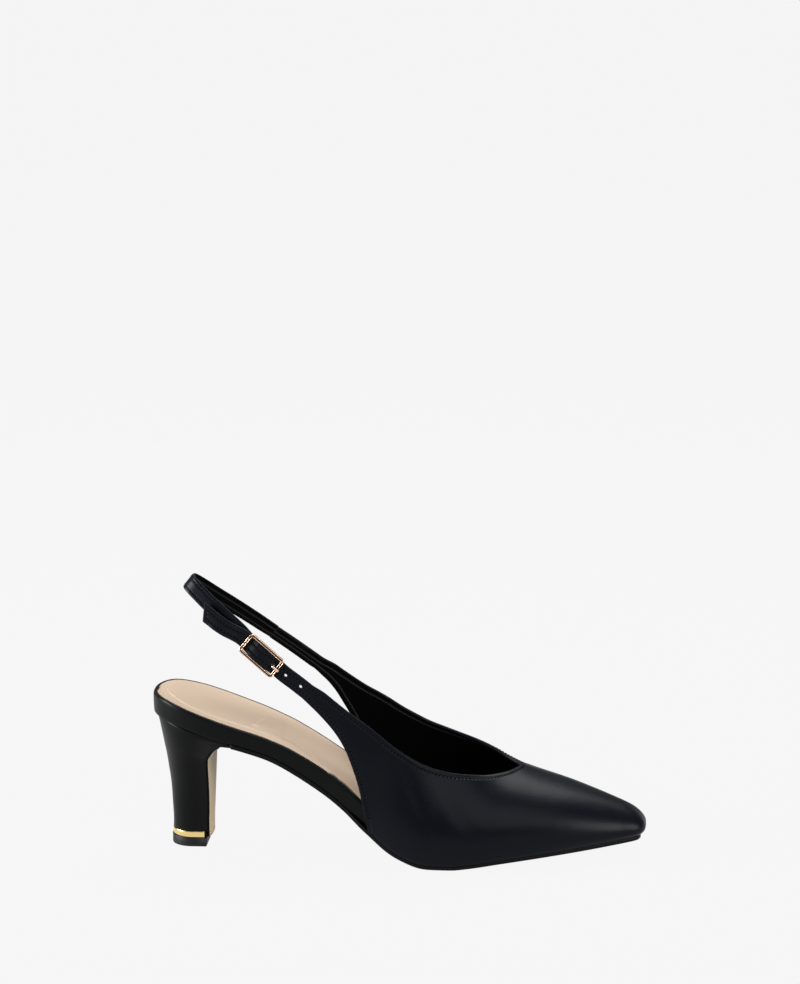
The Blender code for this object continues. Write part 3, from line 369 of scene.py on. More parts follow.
# Finer touches that only the looks have
EDGE_ROLL = 0.55 * MM        # how far a folded leather edge stands past its wall
STITCH_INSET = 2.0 * MM      # stitch row from the folded edge
STITCH_PITCH = 2.0 * MM
STITCH_LENGTH = 1.25 * MM
THREAD = 0.60 * MM           # thickness of the thread
STITCH_GROOVE = 0.45 * MM    # half width of the groove that a stitch row pulls in
TURNED_EDGE = 2.6 * MM       # leather turned over onto the lining
TURNED_LINE_WIDTH = 0.35 * MM
CREASE_FADE = 8 * MM         # creases fade out this near the upper's edges
SEEN_HOLE = 1.3 * PRONG_DIAMETER     # the hole that holds the prong
SEEN_HOLE_SHIFT = 1.0 * MM   # of the prong and its hole, towards the toe bar
CHANNEL_DEPTH = 0.30 * MM    # along the middle of the buckle's bars
BAR_INWARD = 0.30 * MM       # how far the buckle's bars reach past their solids, inwards

# Sides of the footbed and of the sole from below upwards
FOOTBED_SIDE = (
    # inset in mm, share of the height
    (1.2, 0.0), (0.3, 0.0), (0.2, 0.12), (0.12, 0.28), (0.06, 0.45), (0.02, 0.62), (0.0, 0.76),
    (0.02, 0.86), (0.12, 0.93), (0.35, 0.975), (0.75, 1.0), (1.2, 1.01), (1.7, 1.0),
    (2.1, 0.985), (2.4, 0.95), (2.5, 0.80),
)
OUTSOLE_SIDE = (
    (0.6, 0), (0.25, 0.06), (0.08, 0.18), (0.0, 0.4), (0.0, 0.8), (0.05, 0.95), (0.2, 1.0),
)
OUTLINE_STEPS = 170

WELD = 0.002 * MM            # points nearer than this are one
FAR_FROM_EDGE = 0.05         # edge distance of surfaces that carry no edge line

# Soft creases of the vamp as (side, forward and height of both ends, depth, half width).
CREASES = (
    ("lateral", 112 * MM, 53 * MM, 129 * MM, 11 * MM, 0.35 * MM, 3.0 * MM),
    ("lateral", 122 * MM, 50 * MM, 143 * MM, 14 * MM, -0.25 * MM, 4.0 * MM),
    ("lateral", 140 * MM, 30 * MM, 158 * MM, 8 * MM, 0.20 * MM, 4.0 * MM),
    ("medial", 116 * MM, 50 * MM, 134 * MM, 12 * MM, 0.30 * MM, 3.5 * MM),
    ("medial", 134 * MM, 34 * MM, 150 * MM, 12 * MM, 0.20 * MM, 4.0 * MM),
)


def smooth(keys, values, at):
    """Monotone cubic through rows of values, each at its key, read at the given places."""
    keys = np.asarray(keys, float)
    values = np.asarray(values, float)
    flat = values.ndim == 1
    values = values[:, None] if flat else values
    at = np.atleast_1d(np.asarray(at, float))
    step = np.diff(keys)[:, None]
    rate = np.diff(values, axis=0) / step
    before, after = rate[:-1], rate[1:]
    same_way = before * after > 0
    safe_before = np.where(same_way, before, 1.0)
    safe_after = np.where(same_way, after, 1.0)
    weight_a = 2 * step[1:] + step[:-1]
    weight_b = step[1:] + 2 * step[:-1]
    mean = (weight_a + weight_b) / (weight_a / safe_before + weight_b / safe_after)
    slope = np.vstack([rate[:1], np.where(same_way, mean, 0.0), rate[-1:]])
    index = np.clip(np.searchsorted(keys, at, side="right") - 1, 0, len(keys) - 2)
    width = step[index]
    t = (at - keys[index])[:, None] / width
    result = ((1 + 2 * t) * (1 - t) ** 2 * values[index] + t * (1 - t) ** 2 * width * slope[index]
              + t * t * (3 - 2 * t) * values[index + 1]
              + t * t * (t - 1) * width * slope[index + 1])
    return result[:, 0] if flat else result


def unit(vectors):
    """Vectors along the last axis, each made one long."""
    vectors = np.asarray(vectors, float)
    return vectors / np.linalg.norm(vectors, axis=-1, keepdims=True)


def seat_back():
    """Rows of the footbed's outline round the back of the seat: a rounded half ellipse."""
    angle = np.radians([3, 9, 16, 24, 33, 43, 54, 66, 78, 90])
    power = 2 / SEAT_ROUNDNESS
    place = SEAT_WIDEST * (1 - np.cos(angle).clip(0) ** power)
    seat = 0.5 * np.sin(angle) ** power
    return np.column_stack([place, seat, np.zeros(len(angle)), np.zeros(len(angle))])


def travel(points):
    """Distance travelled along a line of points, from 0 on."""
    steps = np.linalg.norm(np.diff(points, axis=0), axis=1)
    return np.concatenate([[0.0], np.cumsum(steps)])


def lengths(points):
    """Distance travelled along a line of points, from 0 to 1."""
    travelled = travel(points)
    return travelled / travelled[-1]


def settle(line, passes=12):
    """Smooths a line of points by pairs of averaging steps, out and back, with its ends kept."""
    line = np.array(line, float)
    for step in (0.5, -0.53) * passes:
        middle = 0.5 * (line[:-2] + line[2:])
        line[1:-1] += step * (middle - line[1:-1])
    return line


def through(points, count):
    """A smooth line through a few points, as count steps of about one length."""
    points = np.asarray(points, float)
    fine = smooth(lengths(points), points, np.linspace(0, 1, 30 * len(points)))
    return even(settle(fine, 60), count)


def even(points, count):
    """A line of points laid out again in count equal steps."""
    key = lengths(points)
    at = np.linspace(0, 1, count + 1)
    return np.stack([np.interp(at, key, points[:, axis]) for axis in range(points.shape[1])], -1)


def along(place):
    """Distance along X of a place given as a share of the length."""
    return np.asarray(place) * LENGTH - TREAD_SETBACK


def place_of(x):
    """Share of the length at a distance along X."""
    return (np.asarray(x) + TREAD_SETBACK) / LENGTH


def sole_profile():
    """Height of the sole's upper face at even places, averaged over a few millimetres."""
    place = np.linspace(-0.05, 1.05, 1201)
    heel, spring = smooth(SOLE_LINE[:, 0], SOLE_LINE[:, 1:], np.clip(place, 0, 1)).T
    height = SOLE_THICKNESS + heel * (HEEL_HEIGHT - SOLE_THICKNESS) + spring * TOE_SPRING
    reach = np.arange(-30, 31)
    weight = np.exp(-(reach / 12.0) ** 2)
    padded = np.pad(height, 30, mode="edge")
    return place, np.convolve(padded, weight / weight.sum(), mode="valid")


PROFILE_PLACE, PROFILE_HEIGHT = sole_profile()


def sole_top(x):
    """Height of the sole's upper face, where the footbed and the upper stand on it."""
    return np.interp(place_of(np.atleast_1d(x)), PROFILE_PLACE, PROFILE_HEIGHT)


def sole_bottom(x):
    """Height of the sole's underside: the upper face, less the thickness square to it."""
    reach = 1.5 * MM
    slope = (sole_top(x + reach) - sole_top(x - reach)) / (2 * reach)
    return sole_top(x) - SOLE_THICKNESS * np.sqrt(1 + slope ** 2)


def bed_height(x):
    """Height of the footbed's edge above its underside."""
    return BED_HEIGHT * smooth(BED[:, 0], BED[:, 1], place_of(x))


EDGE = np.vstack([seat_back(), EDGE_AHEAD])


def edge_ring(start, stop, steps, outset=0.0):
    """Footbed's outline from place start to stop as a closed ring: lateral side, then medial back.

    outset moves each point square to the outline, outwards when positive.
    """
    row = np.arange(len(EDGE))
    first, last = np.interp([start, stop], EDGE[:, 0], row)
    at = np.interp(np.linspace(first, last, steps + 1), row, EDGE[:, 0])
    seat, lateral, medial = smooth(EDGE[:, 0], EDGE[:, 1:], at).T
    x = along(at)
    outer = np.stack([x, -(seat * SEAT_WIDTH + lateral * BALL_WIDTH)], -1)
    inner = np.stack([x, seat * SEAT_WIDTH + medial * BALL_WIDTH], -1)
    ring = np.concatenate([outer, inner[::-1]])
    back, ahead = np.roll(ring, 1, axis=0), np.roll(ring, -1, axis=0)
    chord = unit(unit(ahead - ring) + unit(ring - back))
    square = np.stack([chord[:, 1], -chord[:, 0]], -1)
    return ring + square * np.asarray(outset).reshape(-1, 1)


def lift(ring, height):
    """A flat ring with its heights: a number, an array, or a function of x."""
    z = height(ring[:, 0]) if callable(height) else np.broadcast_to(height, len(ring))
    return np.column_stack([ring, z])


def step_between(x, start, stop):
    """0 before start, 1 after stop, smooth between them."""
    t = np.clip((x - start) / (stop - start), 0, 1)
    return t * t * (3 - 2 * t)


def heel_section(height, inset=0.0):
    """D-shaped outline from the medial breast corner round the back to the lateral corner.

    The sides run back from the breast and turn into a half ellipse.
    """
    back, turn, breast, half = [float(size[0]) for size in heel_sizes([height])]
    back, half = back + inset, half - inset
    angle = np.radians(np.linspace(90, -90, HEEL_ARC_STEPS + 1))
    arc = np.stack([turn - (turn - back) * np.cos(angle), half * np.sin(angle)], -1)
    corner = np.array([[breast, HEEL_CORNER * half]])
    return np.concatenate([corner, arc, corner * [1, -1]])


def heel_sizes(height):
    """Back, turn, breast and half width of the heel at shares of its height, as real lengths."""
    sizes = np.array([TREAD_LENGTH, TREAD_LENGTH, TREAD_LENGTH, TREAD_WIDTH])
    return (smooth(HEEL[:, 0], HEEL[:, 1:], height) * sizes).T


def band_top():
    """Height of the heel block's shoulder above the gold band."""
    return TOPLIFT_HEIGHT + BAND_HEIGHT + 3 * GAP


def heel_point_height(x, height):
    """Height above the floor at x of a share of the way from the band up to the seat."""
    return band_top() + height * (sole_top(x) - GAP - band_top())


def strap_frame():
    """Middle of the loop's back, direction forward down the strap, and direction across it."""
    apex = np.array([0.0, 0.0, HEEL_HEIGHT + STRAP_RISE])
    x = along(ROOT_PLACE)
    root = np.array([x, 0.0, sole_top(x)[0] + ROOT_RISE * INSTEP_RISE])
    reach = np.linalg.norm(root - apex)
    forward = (root - apex) / reach
    across = np.array([-forward[2], 0.0, forward[0]])
    return apex, forward, across, reach


APEX, FORWARD, ACROSS, REACH = strap_frame()


def on_strap(rows):
    """World points of rows (forward, side, drop) in the strap's plane."""
    rows = np.atleast_2d(rows)
    return (APEX + rows[:, :1] * REACH * FORWARD - rows[:, 2:3] * STRAP_WIDTH * ACROSS
            + rows[:, 1:2] * SEAT_WIDTH * np.array([0.0, 1.0, 0.0]))


def buckle_frame():
    """Middle of the buckle, direction along it to the toe, across it, and outwards."""
    middle = on_strap([(BUCKLE_PLACE, -BUCKLE_SIDE, BUCKLE_DROP)])[0]
    flat = (math.cos(BUCKLE_TURN) * FORWARD - math.sin(BUCKLE_TURN) * np.array([0.0, 1.0, 0.0]))
    long = unit(math.cos(BUCKLE_TILT) * flat + math.sin(BUCKLE_TILT) * ACROSS)
    outward = unit(np.cross(long, ACROSS))
    outward = outward if outward[1] < 0 else -outward
    across = unit(np.cross(outward, long))
    across = across if across[2] > 0 else -across
    return middle, long, across, outward


def in_buckle(rows):
    """World points of rows (along, out) in the buckle's middle plane, as real lengths."""
    middle, long, _, outward = buckle_frame()
    return np.array([middle + a * long + n * outward for a, n in rows])


def bar_reach():
    """From the buckle's middle to the middle of an end bar."""
    return 0.5 * (BUCKLE_LENGTH - BUCKLE_BAR)


def centre_bar_out():
    """Middle of the centre bar, a little inside the buckle's middle plane."""
    return -0.6 * BUCKLE_THICKNESS


def tab_rows():
    """Outer face of the outer strap from its root through the buckle to its end, as points.

    It dips under the toe bar, rises over the centre bar and dips under the heel bar.
    """
    under = -(0.5 * BUCKLE_THICKNESS + GAP)
    over = centre_bar_out() + 0.5 * CENTRE_BAR_DIAMETER + GAP + WALL
    reach = bar_reach()
    weave = in_buckle([
        (1.35 * reach, under - 0.15 * MM),
        (reach, under - 0.1 * MM),
        (0.72 * reach, 0.5 * (under + over) - 0.5 * MM),
        (0.36 * reach, over - 0.55 * MM),
        (0.0, over),
        (-0.36 * reach, over - 0.55 * MM),
        (-0.72 * reach, 0.5 * (under + over) - 0.5 * MM),
        (-reach, under - 0.1 * MM),
        (-1.3 * reach, under - 0.3 * MM),
    ])
    start = on_strap([(1.0, -ROOT_SIDE, 0.18), (0.90, -ROOT_SIDE + 0.018, 0.20)])
    end = on_strap([(place, -side, drop) for place, side, drop in (TAIL_MIDDLE, TAIL_END)])
    return np.concatenate([start, weave, end])


def across_strap(count, lean=0.0):
    """Direction up across the strap at each of count points, leaned towards the -Y side."""
    lean = np.radians(np.broadcast_to(lean, count))
    return np.cos(lean)[:, None] * ACROSS - np.sin(lean)[:, None] * np.array([0.0, 1.0, 0.0])


def strap_edges(middle, lean=0.0):
    """Lower and upper edge lines of a strap round its middle line."""
    half = 0.5 * STRAP_WIDTH * across_strap(len(middle), lean)
    return middle - half, middle + half


def upper_edge_points(side):
    """Topline and rear edge of one quarter, as real points from front to strap root."""
    lines = []
    for table in (TOPLINE[side], BACK_EDGE[side]):
        x = along(table[:, 0])
        z = sole_top(x) + table[:, 2] * INSTEP_RISE
        lines.append(np.stack([x, table[:, 1] * BALL_WIDTH, z], -1))
    return lines


def ridge_points():
    """Ridge of the vamp from the toe's pole to the throat."""
    x = along(RIDGE[:, 0])
    z = sole_top(x) + RIDGE[:, 2] * INSTEP_RISE
    return np.stack([x, RIDGE[:, 1] * BALL_WIDTH, z], -1)


def feather_line(side):
    """Lower edge of the upper on the sole, from the front of the nose to the rear corner.

    It is the footbed's outline, moved out by the wall and the clearance.
    """
    steps = 120
    ring = edge_ring(0.30, EDGE[-1, 0], steps, WALL + GAP)
    half = steps + 1
    outer, inner = ring[:half], ring[:half - 1:-1]
    front = 0.5 * (outer[-1] + inner[-1])
    line = (outer if side == "lateral" else inner)[::-1]
    line = np.vstack([front, line])
    corner = along(LATERAL_CORNER if side == "lateral" else MEDIAL_CORNER)
    line = line[line[:, 0] >= corner]
    fine = np.vstack([line, [corner, line[-1, 1]]])
    return lift(fine, lambda x: sole_top(x) + GAP)


def split_at(line, x):
    """A line that runs backwards, cut in two at x."""
    cut = int(np.argmax(line[:, 0] < x))
    return line[:cut + 1], line[cut:]


def upper_side(side):
    """Grid of points of one side of the upper: stations from the toe back, each from the
    lower edge up to the ridge or the topline."""
    feather = feather_line(side)
    nose, rest = split_at(feather, along(NOSE_END))
    vamp, collar = split_at(rest, along(VAMP_END))
    ridge = ridge_points()
    topline, rear = upper_edge_points(side)
    sign = -1.0 if side == "lateral" else 1.0
    if side == "lateral":
        strap = tab_rows()
        strap_steps = TAB_STEPS
    else:
        strap = on_strap(WING) + np.array([0.0, 0.5 * WALL, 0.0])
        strap_steps = WING_STEPS
    lean = np.array([0.0, 0.0]) if side == "lateral" else WING[[0, -1], 3]
    low_root, high_root = strap_edges(strap[:1], lean[0])
    topline = np.vstack([ridge[-1:], topline, high_root[:1]])
    rear = np.vstack([feather[-1:], rear, low_root[:1]])
    topline = through(topline, 200)
    knee = split_at(topline, along(KNEE[side]))
    middle = through(strap, strap_steps)
    low_strap, high_strap = strap_edges(middle, np.interp(lengths(middle), [0, 1], lean))
    if side == "lateral":
        slant = TAIL_SLANT * STRAP_WIDTH * step_between(np.linspace(0, 1, len(middle)), 0.8, 1.0)
        low_strap = low_strap + slant[:, None] * FORWARD
    pieces = [
        (even(nose, NOSE_STEPS), np.repeat(ridge[:1], NOSE_STEPS + 1, axis=0)),
        (even(vamp, VAMP_STEPS), through(ridge, VAMP_STEPS)),
        (even(collar, COLLAR_STEPS), even(knee[0], COLLAR_STEPS)),
        (through(rear, QUARTER_STEPS), even(knee[1], QUARTER_STEPS)),
        (low_strap, high_strap),
    ]
    low = np.concatenate([pieces[0][0]] + [piece[0][1:] for piece in pieces[1:]])
    high = np.concatenate([pieces[0][1]] + [piece[1][1:] for piece in pieces[1:]])
    counts = [NOSE_STEPS, VAMP_STEPS, COLLAR_STEPS, QUARTER_STEPS, strap_steps]
    position = np.concatenate([[0.0]] + [k + np.arange(1, n + 1) / n for k, n in enumerate(counts)])
    return cross_sections(low, high, position, SHAPE[side], sign)


def outward_directions(low, high, position, sign):
    """Direction in plan from the shoe's middle out through each station.

    On the nose it points from the pole to the lower edge, and from the end of the nose to the
    throat it turns to straight sideways.
    """
    fan = unit((low - high)[:, :2] + 1e-9)
    side = np.broadcast_to([0.0, sign], fan.shape)
    turned = step_between(position, 0.8, 1.8)[:, None]
    return unit(fan * (1 - turned) + side * turned)


def cross_sections(low, high, position, shape, sign):
    """Cubic curves from the lower edge to the upper one, bent as the table says."""
    flare, low_pull, lean, high_pull = smooth(shape[:, 0], shape[:, 1:], np.minimum(position, 4)).T
    out = outward_directions(low, high, position, sign)
    chord = np.linalg.norm(high - low, axis=1)
    straight = step_between(position, 3.4, 4.0)[:, None]
    up_chord = unit(high - low)
    flare, lean = np.radians(flare), np.radians(lean)
    rise = np.column_stack([out * np.sin(flare)[:, None], np.cos(flare)])
    ridge = ridge_points()
    fall = (ridge[1, 2] - ridge[0, 2]) / (ridge[1, 0] - ridge[0, 0])
    droop = fall * out[:, 0] * step_between(-position, -2.0, -0.9)
    over = np.column_stack([out * np.cos(lean)[:, None], -np.sin(lean) + droop])
    rise = unit(rise * (1 - straight) + up_chord * straight)
    over = over * (1 - straight) - up_chord * straight
    first = low + rise * (low_pull * chord)[:, None]
    second = high + over * (high_pull * chord)[:, None]
    t = np.linspace(0, 1, CROSS_STEPS + 1)[None, :, None]
    return ((1 - t) ** 3 * low[:, None] + 3 * t * (1 - t) ** 2 * first[:, None]
            + 3 * t * t * (1 - t) * second[:, None] + t ** 3 * high[:, None])


def prong_hole_along():
    """From the buckle's middle to the hole that the prong goes through."""
    return PRONG_HOLE * bar_reach()


def hole_place(number):
    """Point in the middle of the outer strap's hole: number 0 holds the prong."""
    reach = prong_hole_along() + number * HOLE_PITCH
    place = BUCKLE_PLACE + reach / REACH
    line = tab_rows()
    forward = (line - APEX) @ FORWARD / REACH
    order = np.argsort(forward)
    point = smooth(forward[order], line[order], [place])[0]
    return point


def sling_line():
    """Middle line and lean of the sling strap from the inner wing round the heel to the buckle."""
    start = WING[-1] - np.array([GAP / REACH, 0.002, 0.0, 0.0])
    table = np.vstack([start, SLING])
    rows = on_strap(table)
    bar = centre_bar_out() - 0.5 * CENTRE_BAR_DIAMETER - GAP - 0.5 * STRAP_THICKNESS
    under = -(0.5 * BUCKLE_THICKNESS + 2 * GAP + WALL + 0.5 * STRAP_THICKNESS) - 0.3 * MM
    end = in_buckle([(-bar_reach(), under), (-0.4 * bar_reach(), 0.5 * (under + bar) - 0.2 * MM),
                     (0.0, bar), (0.08 * bar_reach(), bar)])
    lean = np.concatenate([table[:, 3], np.zeros(len(end))])
    return np.column_stack([np.vstack([rows, end]), lean])


def buckle_width():
    """Outer width of the buckle: the strap, its clearances and two side bars."""
    return STRAP_WIDTH + 2 * GAP + 2 * BUCKLE_BAR


# Materials

def new_material(name):
    """Material with its node tree and its Principled shader."""
    made = bpy.data.materials.new(name)
    made.use_nodes = True
    tree = made.node_tree
    return made, tree, tree.nodes["Principled BSDF"]


def feed(tree, node, inputs):
    """Gives sockets of a node their values; a value that is another node's output is linked."""
    for key, value in inputs.items():
        if isinstance(value, bpy.types.NodeSocket):
            tree.links.new(value, node.inputs[key])
        else:
            node.inputs[key].default_value = value
    return node


def add_node(tree, kind, inputs):
    """New node with its sockets fed."""
    return feed(tree, tree.nodes.new(kind), inputs)


def add_group(tree, group, inputs):
    """New node that holds a group, with its sockets fed."""
    made = tree.nodes.new("ShaderNodeGroup")
    made.node_tree = group
    return feed(tree, made, inputs)


def calculate(tree, operation, *values):
    """Output of one step of arithmetic on numbers or outputs of other nodes."""
    made = tree.nodes.new("ShaderNodeMath")
    made.operation = operation
    return feed(tree, made, dict(enumerate(values))).outputs[0]


def new_group(name, result, **inputs):
    """Empty shader node group: its tree, its start with typed inputs, its end with one number."""
    tree = bpy.data.node_groups.new(name, "ShaderNodeTree")
    for socket, kind in inputs.items():
        tree.interface.new_socket(socket, in_out="INPUT", socket_type="NodeSocket" + kind)
    tree.interface.new_socket(result, in_out="OUTPUT", socket_type="NodeSocketFloat")
    return tree, tree.nodes.new("NodeGroupInput"), tree.nodes.new("NodeGroupOutput")


def grain_group():
    """Bump height of fine leather grain: small cells over a slow unevenness."""
    tree, start, end = new_group("leather_grain", "Height", Vector="Vector", Cells="Float",
                                 Unevenness="Float")
    place = start.outputs["Vector"]
    cells = add_node(tree, "ShaderNodeTexVoronoi", {"Vector": place, "Scale": 1500})
    slow = add_node(tree, "ShaderNodeTexNoise", {"Vector": place, "Scale": 140, "Detail": 4})
    fine = calculate(tree, "MULTIPLY", cells.outputs["Distance"], start.outputs["Cells"])
    both = calculate(tree, "MULTIPLY_ADD", slow.outputs["Fac"], start.outputs["Unevenness"], fine)
    feed(tree, end, {"Height": both})
    return tree


def roughness_group():
    """Roughness that drifts between Low and High with a noise over the place."""
    tree, start, end = new_group("uneven_roughness", "Roughness", Vector="Vector", Scale="Float",
                                 Detail="Float", Low="Float", High="Float")
    noise = add_node(tree, "ShaderNodeTexNoise",
                     {name: start.outputs[name] for name in ("Vector", "Scale", "Detail")})
    spread = add_node(tree, "ShaderNodeMapRange",
                      {"Value": noise.outputs["Fac"], "To Min": start.outputs["Low"],
                       "To Max": start.outputs["High"]})
    feed(tree, end, {"Roughness": spread.outputs["Result"]})
    return tree


def edge_group(name, at, width, sign):
    """Bump height of a line that runs at one distance from a leather edge: a bell curve of the
    distance, up or down by its sign."""
    tree, start, end = new_group(name, "Height", Distance="Float")
    scaled = calculate(tree, "DIVIDE", calculate(tree, "SUBTRACT", start.outputs[0], at), width)
    square = calculate(tree, "MULTIPLY", scaled, scaled)
    bell = calculate(tree, "EXPONENT", calculate(tree, "MULTIPLY", square, -1))
    feed(tree, end, {"Height": calculate(tree, "MULTIPLY", bell, sign)})
    return tree


GRAIN = grain_group()
UNEVEN = roughness_group()
GROOVE = edge_group("stitch_groove", STITCH_INSET, STITCH_GROOVE, -1)
TURNED_LINE = edge_group("turned_edge_line", TURNED_EDGE, TURNED_LINE_WIDTH, 1)


def edge_height(tree, group):
    """Height of a line along the edges, from the piece's own UV."""
    uv = tree.nodes.new("ShaderNodeUVMap")
    uv.uv_map = "edge"
    parts = add_node(tree, "ShaderNodeSeparateXYZ", {"Vector": uv.outputs["UV"]})
    return add_group(tree, group, {"Distance": parts.outputs["Y"]}).outputs["Height"]


def uneven(tree, place, scale, detail, low, high):
    """Output of the group that drifts the roughness between low and high."""
    values = {"Vector": place, "Scale": scale, "Detail": detail, "Low": low, "High": high}
    return add_group(tree, UNEVEN, values).outputs["Roughness"]


def leather(name, colour, roughness, coat, coat_roughness, cells, unevenness, depth, specular,
            line=None, line_depth=0.0, painted_line_highlight=None):
    """Smooth finished leather: grain bump, cloudy roughness, a thin coat and a line by the edges, as a bump
    and, where a colour is given, a lighter colour along it that is a painted highlight.
    """
    made, tree, shader = new_material(name)
    feed(tree, shader, {"Base Color": (*colour, 1), "Specular IOR Level": specular,
                        "Coat Weight": coat, "Coat Roughness": coat_roughness})
    place = tree.nodes.new("ShaderNodeTexCoord").outputs["Object"]
    grain = add_group(tree, GRAIN, {"Vector": place, "Cells": cells, "Unevenness": unevenness})
    bump = add_node(tree, "ShaderNodeBump",
                    {"Distance": depth * MM, "Height": grain.outputs["Height"]})
    if line:
        height = edge_height(tree, line)
        bump = add_node(tree, "ShaderNodeBump", {"Distance": line_depth * MM, "Height": height,
                                                 "Normal": bump.outputs["Normal"]})
    # lighter colour along the edge line: a painted highlight
    if painted_line_highlight:
        mix = tree.nodes.new("ShaderNodeMix")
        mix.data_type = "RGBA"
        feed(tree, mix, {"Factor": height, "A": (*colour, 1), "B": (*painted_line_highlight, 1)})
        feed(tree, shader, {"Base Color": mix.outputs["Result"]})
    feed(tree, shader, {"Normal": bump.outputs["Normal"],
                        "Roughness": uneven(tree, place, 45, 5, roughness - 0.06, roughness + 0.06)})
    return made


def metal(name, colour, roughness):
    """Polished plated metal with a faintly uneven roughness."""
    made, tree, shader = new_material(name)
    place = tree.nodes.new("ShaderNodeTexCoord").outputs["Object"]
    feed(tree, shader, {"Base Color": (*colour, 1), "Metallic": 1,
                        "Roughness": uneven(tree, place, 900, 2, roughness - 0.04, roughness + 0.05)})
    return made


LEATHERS = {
    # colour, roughness, coat and its roughness, cells, unevenness and depth (mm) of the grain, specular
    "upper_leather": ((0.0016, 0.0025, 0.0056), 0.36, 0.03, 0.25, 0.5, 1.8, 0.05, 0.12),
    "lining": ((0.0007, 0.0008, 0.0010), 0.50, 0.00, 0.30, 0.8, 1.0, 0.05, 0.03),
    "cover_leather": ((0.0026, 0.0028, 0.0028), 0.38, 0.03, 0.20, 0.3, 0.8, 0.03, 0.11),
    "sole_edge": ((0.0028, 0.0028, 0.0030), 0.40, 0.03, 0.20, 0.5, 1.0, 0.04, 0.11),
    "sock_lining": ((0.600, 0.458, 0.335), 0.48, 0.03, 0.30, 0.4, 1.0, 0.03, 0.30),
    "breast_cover": ((0.74, 0.56, 0.35), 0.50, 0.03, 0.30, 0.4, 1.0, 0.03, 0.30),
    "heel_rubber": ((0.0065, 0.0065, 0.0065), 0.50, 0.00, 0.30, 1.0, 0.5, 0.04, 0.30),
    "thread": ((0.0008, 0.0008, 0.0010), 0.70, 0.00, 0.30, 1.0, 0.5, 0.04, 0.10),
}
EDGE_LINES = {
    # group, depth in mm, colour of the painted highlight along the line
    "upper_leather": (GROOVE, 0.34),
    # lining: the turned edge's ridge is a real bump; the lighter colour along it is a painted highlight
    "lining": (TURNED_LINE, 0.20, (0.030, 0.031, 0.034)),
}
METALS = {
    # colour, roughness
    "gold_metal": ((0.95, 0.72, 0.30), 0.24),
    "buckle_metal": ((0.93, 0.66, 0.46), 0.22),
    # dark metal for the channel along the buckle's bars: a painted dark reflection, not the metal's own
    # colour
    "buckle_channel_painted_dark_reflection": ((0.10, 0.045, 0.028), 0.30),
}
FINISH = {name: leather(name, *row, *EDGE_LINES.get(name, ())) for name, row in LEATHERS.items()}
FINISH.update({name: metal(name, *row) for name, row in METALS.items()})


# Mesh makers

def put_object(name, data):
    """New object of the scene that shows some data."""
    made = bpy.data.objects.new(name, data)
    bpy.context.scene.collection.objects.link(made)
    return made


def grid_faces(rows, columns, start=0):
    """Quads of a grid of points, rows by columns."""
    i, j = np.meshgrid(np.arange(rows - 1), np.arange(columns - 1), indexing="ij")
    corner = i * columns + j
    quads = np.stack([corner, corner + columns, corner + columns + 1, corner + 1], -1)
    return start + quads.reshape(-1, 4)


def piece(name, grids, materials, node=None, slot=None, fill=True):
    """One mesh of several grids of points, welded where they meet and turned outwards.

    grids is a list of (points, material number, uv or None). Open ends are filled when asked.
    """
    points, faces, numbers, uvs = [], [], [], []
    base = 0
    for grid, number, uv in grids:
        rows, columns = grid.shape[:2]
        quads = grid_faces(rows, columns, base)
        points.append(grid.reshape(-1, 3))
        uvs.append(np.full((rows * columns, 2), FAR_FROM_EDGE) if uv is None else uv.reshape(-1, 2))
        faces.append(quads)
        numbers.append(np.full(len(quads), number))
        base += rows * columns
    points, faces = np.concatenate(points), np.concatenate(faces)
    mesh = bpy.data.meshes.new(name)
    mesh.from_pydata(points.tolist(), [], faces.tolist())
    mesh.polygons.foreach_set("material_index", np.concatenate(numbers).astype(np.int32))
    layer = mesh.uv_layers.new(name="edge")
    layer.data.foreach_set("uv", np.concatenate(uvs)[faces.ravel()].ravel())
    shape = bmesh.new()
    shape.from_mesh(mesh)
    bmesh.ops.remove_doubles(shape, verts=shape.verts, dist=WELD)
    if fill:
        bmesh.ops.holes_fill(shape, edges=[e for e in shape.edges if e.is_boundary], sides=0)
    bmesh.ops.recalc_face_normals(shape, faces=shape.faces)
    shape.to_mesh(mesh)
    shape.free()
    mesh.shade_smooth()
    for material in materials:
        mesh.materials.append(FINISH[material])
    made = put_object(name, mesh)
    if node:
        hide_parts(*node)
    return made


def closed(rings):
    """Closed rings of one size as one grid, with the first column repeated as the last."""
    grid = np.stack(rings)
    return np.concatenate([grid, grid[:, :1]], axis=1)


def lid(ring, dip=0.0, columns=16):
    """Sheet across a ring that runs up the lateral side and back down the medial side.

    Each row goes straight across, lowered by dip times a half sine.
    """
    half = len(ring) // 2
    outer, inner = ring[:half], ring[:half - 1:-1]
    share = np.linspace(0, 1, columns + 1)[None, :, None]
    sheet = outer[:, None] * (1 - share) + inner[:, None] * share
    sheet[..., 2] -= dip * np.sin(np.pi * share[..., 0])
    return sheet


def capped(rings):
    """Rings with two shrunk copies at each end, so that the ends close over."""
    def inward(ring):
        middle = ring.mean(axis=0)
        return [middle + (ring - middle) * share for share in (0.97, 0.5)]
    first, last = inward(rings[0]), inward(rings[-1])
    return closed(first[::-1] + list(rings) + last)


def surface_normals(grids):
    """Smooth unit normals of several grids that meet: the summed normals of the faces round
    each point, shared between points that lie together. The first grid's faces are turned over."""
    points = np.concatenate([grid.reshape(-1, 3) for grid in grids])
    together = np.unique(np.round(points / WELD), axis=0, return_inverse=True)[1].ravel()
    total = np.zeros((together.max() + 1, 3))
    starts = np.cumsum([0] + [grid.shape[0] * grid.shape[1] for grid in grids])
    for number, grid in enumerate(grids):
        quads = grid_faces(*grid.shape[:2], starts[number])
        a, b, c, d = (points[quads[:, k]] for k in range(4))
        normal = np.cross(c - a, d - b) * (1 if number else -1)
        for k in range(4):
            np.add.at(total, together[quads[:, k]], normal)
    normals = unit(total + 1e-15)[together]
    parts = np.split(normals, starts[1:-1])
    return [part.reshape(grid.shape) for part, grid in zip(parts, grids)]


